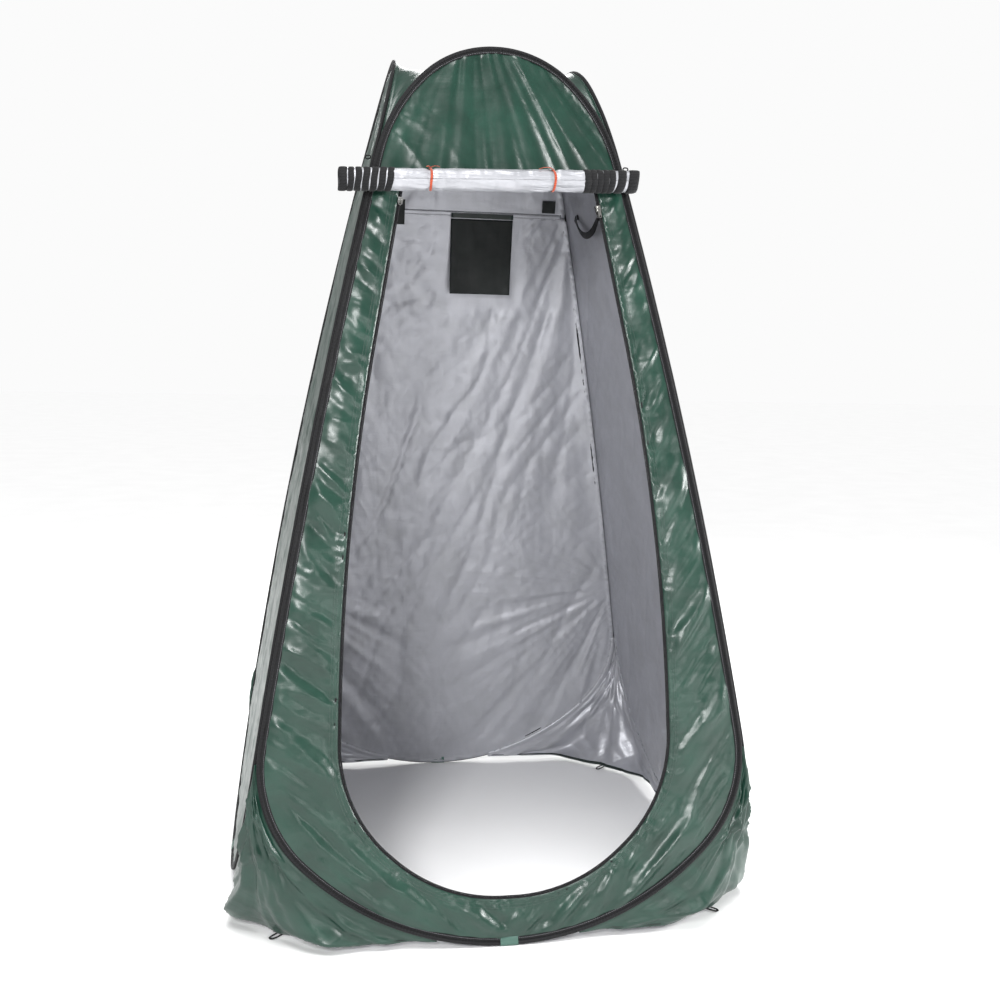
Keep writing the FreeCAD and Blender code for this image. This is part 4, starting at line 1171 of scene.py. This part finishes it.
def build_ties():
    """Orange-red tape loops round the roll, each with a flattened knot and a loose end."""
    for number, (side, x) in enumerate(zip(("left", "right"), TIE_XS)):
        angle = np.linspace(0, 2 * math.pi, 73)[:-1]
        wobble = 0.0012 * np.sin(2 * angle + number)
        r = ROLL_CORE + 0.0003 * np.sin(5 * angle)
        line = on_roll(x + wobble, r, angle)
        out = np.outer(np.cos(angle), ROLL_ACROSS) + np.outer(np.sin(angle), ROLL_UP)
        across = np.tile(ROLL_UNIT, (len(line), 1))
        band = slab(-0.0026, 0.0026, 0.0011, 0.0003)
        loop = sweep("tie_loop_" + side, line, across, out, band, [ORANGE], True)
        place(loop, "door_tie_" + side)
        top = ROLL_START + ROLL_WAY * x + ROLL_UP * (ROLL_R - 0.0010)
        forward = -np.array([0.0, 1.0, 0.0])
        if side == "right":
            ends = [[(0, 0.002, 0.000), (-0.010, 0.010, 0.0025), (-0.022, 0.014, 0.0020), (-0.034, 0.017, -0.0015)]]
        else:
            ends = [[(0, 0.002, 0.000), (0.007, 0.006, 0.003), (0.014, 0.005, 0.0035), (0.019, 0.010, 0.0015)],
                    [(0, 0.002, 0.000), (-0.005, 0.009, 0.003), (-0.008, 0.015, 0.001)]]
        for piece_number, end in enumerate(ends):
            path = np.array([top + ROLL_UNIT * a + forward * b + ROLL_UP * c for a, b, c in end])
            path = resample(smooth_line(path), 0.001)
            up = np.tile(ROLL_UP, (len(path), 1))
            side_way = unit(np.cross(ways_along(path, False), up))
            tail = sweep(f"tie_end_{side}_{piece_number}", path, side_way, up, slab(-0.0024, 0.0024, 0.0009, 0.0002),
                         [ORANGE], False)
            carry(tail, "front_panel")


SMOOTH_POINTS = 40


def smooth_line(points):
    """A smooth line through a few points (Catmull-Rom)."""
    padded = np.vstack([2 * points[0] - points[1], points, 2 * points[-1] - points[-2]])
    line = []
    for i in range(1, len(padded) - 2):
        p0, p1, p2, p3 = padded[i - 1:i + 3]
        for t in np.linspace(0, 1, SMOOTH_POINTS // (len(points) - 1) + 2)[:-1]:
            line.append(0.5 * (2 * p1 + (p2 - p0) * t + (2 * p0 - 5 * p1 + 4 * p2 - p3) * t ** 2
                               + (3 * p1 - p0 - 3 * p2 + p3) * t ** 3))
    return np.array(line + [points[-1]])


build_door()
build_ties()


# ---- seams ---------------------------------------------------------------------------------
SEAM_INSET = 0.013        # a seam ends this far inside the wire's line
SEAM_POINTS = 120


def seam_line(z):
    """A level (x, z) line across the wall's cloth."""
    half = abs(part_of_loop(hoop_line(SEAM_INSET, 0.004), z, False)[0, 0])
    return np.stack([np.linspace(-half, half, SEAM_POINTS), np.full(SEAM_POINTS, z)], axis=1)


def build_seams():
    """The turned-in header edge on the front and the double-stitched seam across the back."""
    flat = seam_line(HEADER_Z)
    line, up, out = up_frames(flat)
    section = [(a, b + 0.0006) for a, b in slab(-0.004, 0.006, 0.0016, 0.0004)]
    hem = sweep("header_hem", line, up, out, section, [GREEN], False)
    carry(hem, "front_panel")
    rows = [wall_row(flat + (0, 0.003), 0.0020)]
    thread = stitches("header_stitches", rows, GREEN_THREAD, pitch=0.0035, length=0.0024)
    carry(thread, "front_panel")
    flat = seam_line(BACK_SEAM_Z)
    line, up, out = up_frames(flat)
    beside = np.maximum(FLAP_ROOM[0] - flat[:, 0], flat[:, 0] - FLAP_ROOM[1])
    depth = 0.0011 + 0.0017 * smooth(beside, 0, 0.03)

    def inner(i):
        return [(a, b - depth[i]) for a, b in slab(-0.0065, 0.0065, 0.0008, 0.0001)]

    outer = [(a, b - 0.0006) for a, b in slab(-0.0065, 0.0065, 0.0012, 0.0002)]
    points = turn_points(line, "back"), turn_points(up, "back"), turn_points(out, "back")
    for name, section, material in (("back_seam_lap", inner, SILVER), ("back_seam_facing", outer, GREEN)):
        lap = sweep(name, *points, section, [material], False)
        carry(lap, "back_panel")
    rows = []
    for rise in (-0.0042, 0.0042):
        row, normal = wall_row(flat + (0, rise), -(depth + 0.0006)[:, None], "back")
        rows.append((row, -normal))
        rows.append(wall_row(flat + (0, rise), 0.0004, "back"))
    thread = stitches("back_seam_stitches", rows, BLACK_THREAD, radius=0.00045)
    carry(thread, "back_panel")


build_seams()


# ---- flap, tabs and strap ------------------------------------------------------------------
SEWN_OFF_WALL = 0.0062    # the seam strip and tabs lie this far inside the wall's middle, clear of its folds
SEWN_WAVE = 0.0006
SEWN_THICK = 0.0010
STRAP_DROP = 0.008        # how far the strap is drawn below the line that it swings about


def build_flap():
    """Dark cloth flap that hangs from a seam strip, and two dark tabs."""
    rows, columns = 44, 36
    wall_lean = math.atan(-float(wall_slope(FLAP_HINGE_Z)))
    lean = wall_lean - FLAP_OFF_WALL
    hinge = on_front(-FLAP_X, FLAP_HINGE_Z, -FLAP_STAND_OFF)
    v, u = np.meshgrid(np.linspace(0, 1, rows), np.linspace(-0.5, 0.5, columns), indexing="ij")
    x = u * FLAP_WIDTH * (1 - 0.02 * v)
    drop = v * FLAP_DROP
    wave = 0.0020 * perlin(u * 3.2 + 5, v * 1.4, 131) * smooth(v, 0, 0.3) + 0.0008 * perlin(u * 9, v * 6, 132)
    corner = 0.003 * smooth(v, 0.8, 1.0) * smooth(np.abs(u), 0.35, 0.5)
    out = wave + corner
    grid = np.stack([hinge[0] + x, hinge[1] - drop * math.sin(lean) + out * math.cos(lean),
                     hinge[2] - drop * math.cos(lean) - out * math.sin(lean)], axis=-1)
    flap = grid_sheet("flap_cloth", turn_points(grid, "back"), [DARK_FLAP, DARK_FLAP], 0.0012)
    place(flap, "flap")

    def sewn(name, node, x0, x1, z0, z1, material):
        zs, xs = np.meshgrid(np.linspace(z0, z1, 14), np.linspace(x0, x1, 24), indexing="ij")
        off = -SEWN_OFF_WALL - SEWN_WAVE * (0.5 + perlin(xs * 60, zs * 40, 141))
        cloth = grid_sheet(name, turn_points(on_front(-xs, zs, off), "back"), [material, material], SEWN_THICK)
        place(cloth, node)

    low = FLAP_HINGE_Z + 0.003
    sewn("flap_seam_strip", "flap_seam", FLAP_X - FLAP_WIDTH / 2, FLAP_X + FLAP_WIDTH / 2, low, low + 0.012,
         DARK_GREEN)
    sewn("wall_tab_cloth_left", "wall_tab_left", -0.197, -0.150, 1.558, 1.620, DARK_FLAP)
    sewn("wall_tab_cloth_right", "wall_tab_right", 0.214, 0.249, 1.600, 1.631, DARK_FLAP)


def build_strap():
    """Webbing strap in a shallow loop along the right wall, twisted a little; its sewn ends are made by build_anchors.
    """
    middle = (STRAP_BACK + STRAP_FRONT) / 2 - np.array([0, 0, STRAP_SAG - 0.020])
    path = resample(smooth_line(np.array([STRAP_BACK, (STRAP_BACK * 0.55 + middle * 0.45) - (0, 0, 0.012), middle,
                                          (STRAP_FRONT * 0.55 + middle * 0.45) - (0, 0, 0.012), STRAP_FRONT])), 0.003)
    path = path - np.array([0, 0, STRAP_DROP])
    way = ways_along(path, False)
    along = np.linspace(0, 1, len(path))
    twist = 0.35 * np.sin(along * math.pi) + 0.15 * np.sin(along * 3 * math.pi)
    side = unit(np.cross(way, (0, 0, 1)))
    down = np.cross(side, way)
    across = down * np.cos(twist)[:, None] + side * np.sin(twist)[:, None]
    out = np.cross(way, across)
    strap = sweep("strap_webbing", path, across, out, slab(-0.0095, 0.0075, 0.0014, 0.0002), [BLACK_WEBBING], False)
    place(strap, "hanging_strap")


build_flap()
build_strap()


# ---- loops ---------------------------------------------------------------------------------
LOOP_UNDER_HEM = 0.008     # how far the stake loops are drawn in, so that they start under the hem


def build_loops():
    """Stake loops on the ground and guy-line loops by the tops of the corners, in folded black webbing."""
    for name in ("front_left", "front_right", "back_left", "back_right"):
        for kind, width in (("stake_loop_", 0.006), ("guy_loop_", 0.0045)):
            low, high = (np.array(v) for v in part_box(kind + name))
            centre, size = (low + high) / 2, high - low
            if kind == "stake_loop_":
                long_way = np.array([size[0], size[1], 0]) * np.sign(centre * (1, 1, 0))
                reach = 0.0205
                long_way = long_way / np.linalg.norm(long_way)
                side_way = np.array([-long_way[1], long_way[0], 0])
                centre = centre - long_way * LOOP_UNDER_HEM
                up, radius = np.array([0, 0, 1.0]), 0.0065
            else:
                long_way, side_way, up = np.array([1.0, 0, 0]), np.array([0, 0, 1.0]), np.array([0, 1.0, 0])
                reach, radius = 0.0055, 0.0036
            turn = np.linspace(0, 2 * math.pi, 41)[:-1]
            ease = np.sign(np.cos(turn)) * np.abs(np.cos(turn)) ** 0.7
            line = centre + np.outer(ease * reach, long_way) + np.outer(np.sin(turn) * radius, side_way)
            ups = np.tile(up, (len(line), 1))
            across = unit(np.cross(ways_along(line, True), ups))
            h = min(width, 2 * min(size[2], 0.002) if kind == "stake_loop_" else 0.002)
            section = slab(-width / 3, width / 3, h * 0.8)
            loop = sweep(kind + "webbing_" + name, line, across, ups, section, [BLACK_WEBBING], True)
            if kind == "stake_loop_":
                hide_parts(kind + name)
                follow(loop, *CORNERS[name], slot="webbing")
            else:
                place(loop, kind + name)


build_loops()


# ---- CAD nodes that stay in view -----------------------------------------------------------
def dress(node, material):
    """Give a CAD node one of the materials made here."""
    mesh = frame["nodes"][node].data
    mesh.materials.clear()
    mesh.materials.append(material)


for side in QUARTER:
    dress("hoop_" + side, WIRE)
    dress("ferrule_" + side, CRIMP)
for node in frame["nodes"]:
    if node.startswith(("zip_slider", "zip_pull")):
        dress(node, ZIP_METAL)


WEBBING_THICK = 0.0018
ANCHOR_STATIONS = 24


def build_anchors():
    """The strap's sewn ends: folded webbing with a rounded foot, in the space of the CAD's ends."""
    for node in ("strap_anchor_back", "strap_anchor_front"):
        low, high = (np.array(v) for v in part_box(node))
        middle, size = (low + high) / 2, high - low
        heights = np.linspace(low[2] + 0.0008, high[2] - 0.0008, ANCHOR_STATIONS)
        lean = float(wall_slope(middle[2]))         # the webbing lies along the leaning wall
        line = np.stack([middle[0] + lean * (heights - middle[2]), np.full(ANCHOR_STATIONS, middle[1]), heights],
                        axis=1)
        across = np.tile((0.0, 1.0, 0.0), (ANCHOR_STATIONS, 1))
        out = np.tile(np.array([1.0, 0.0, -lean]) / np.hypot(1.0, lean), (ANCHOR_STATIONS, 1))
        station = np.arange(ANCHOR_STATIONS)
        end = np.minimum(station, station[::-1]) / 3.0
        narrow = np.minimum(1.0, 0.72 + 0.28 * np.sqrt(np.minimum(end, 1.0)))

        def section(i):
            half = size[1] / 2 * narrow[i]
            return slab(-half, half, WEBBING_THICK * narrow[i], 0.08 * WEBBING_THICK)

        anchor = sweep(node + "_webbing", line, across, out, section, [BLACK_WEBBING], False)
        place(anchor, node)


build_anchors()


# ---- floor and light -----------------------------------------------------------------------
WORLD_LIGHTS = 0.36       # the strength that the world lights with
WORLD_SEEN = 0.965        # and the one that the camera sees, which hides the floor's edge


def build_stage():
    """Pale floor, white world, four soft lamps and a broad sun."""
    n = Nodes("floor_pale")
    colour = n.ramp(n.noise(3.0), [(0.2, (0.90, 0.90, 0.90, 1)), (0.8, (0.94, 0.94, 0.94, 1))])
    material = n.done(colour=colour, rough=0.9, specular=0.1)
    floor = new_object("floor", [(-30, -30, 0), (30, -30, 0), (30, 30, 0), (-30, 30, 0)], [(0, 1, 2, 3)], [material],
                       uvs=[(0, 0), (60, 0), (60, 60), (0, 60)])
    world = bpy.data.worlds.new("studio")
    bpy.context.scene.world = world
    world.use_nodes = True
    nodes, links = world.node_tree.nodes, world.node_tree.links
    path, mix = nodes.new("ShaderNodeLightPath"), nodes.new("ShaderNodeMixShader")
    links.new(path.outputs["Is Camera Ray"], mix.inputs[0])
    shades = ((nodes["Background"], WORLD_LIGHTS), (nodes.new("ShaderNodeBackground"), WORLD_SEEN))
    for number, (shade, strength) in enumerate(shades, 1):
        shade.inputs["Color"].default_value = (1, 1, 1, 1)
        shade.inputs["Strength"].default_value = strength
        links.new(shade.outputs[0], mix.inputs[number])
    links.new(mix.outputs[0], nodes["World Output"].inputs[0])
    for name, place_at, aim, size, power in (
            ("key", (-1.5, -3.9, 2.5), (0.2, 0, 1.4), 0.8, 125),
            ("side", (3.3, -0.9, 1.5), (0, -0.5, 0.7), 0.9, 110),
            ("front", (1.0, -3.9, 1.3), (0, 0, 1.1), 1.2, 22),
            ("back", (0.5, 3.6, 3.0), (0, 0, 1.0), 2.0, 110)):
        light = bpy.data.lights.new(name, "AREA")
        light.size = size
        light.energy = power
        lamp = bpy.data.objects.new(name, light)
        lamp.location = place_at
        lamp.rotation_mode = "QUATERNION"
        lamp.rotation_quaternion = (Vector(aim) - Vector(place_at)).to_track_quat("-Z", "Y")
        bpy.context.scene.collection.objects.link(lamp)
    sun = bpy.data.lights.new("overhead", "SUN")
    sun.energy = 2.3
    sun.angle = 0.5
    overhead = bpy.data.objects.new("overhead", sun)
    overhead.rotation_mode = "QUATERNION"
    overhead.rotation_quaternion = Vector((0.12, 0.25, -1.0)).to_track_quat("-Z", "Y")
    bpy.context.scene.collection.objects.link(overhead)
    bpy.context.scene.view_settings.view_transform = "Standard"


build_stage()
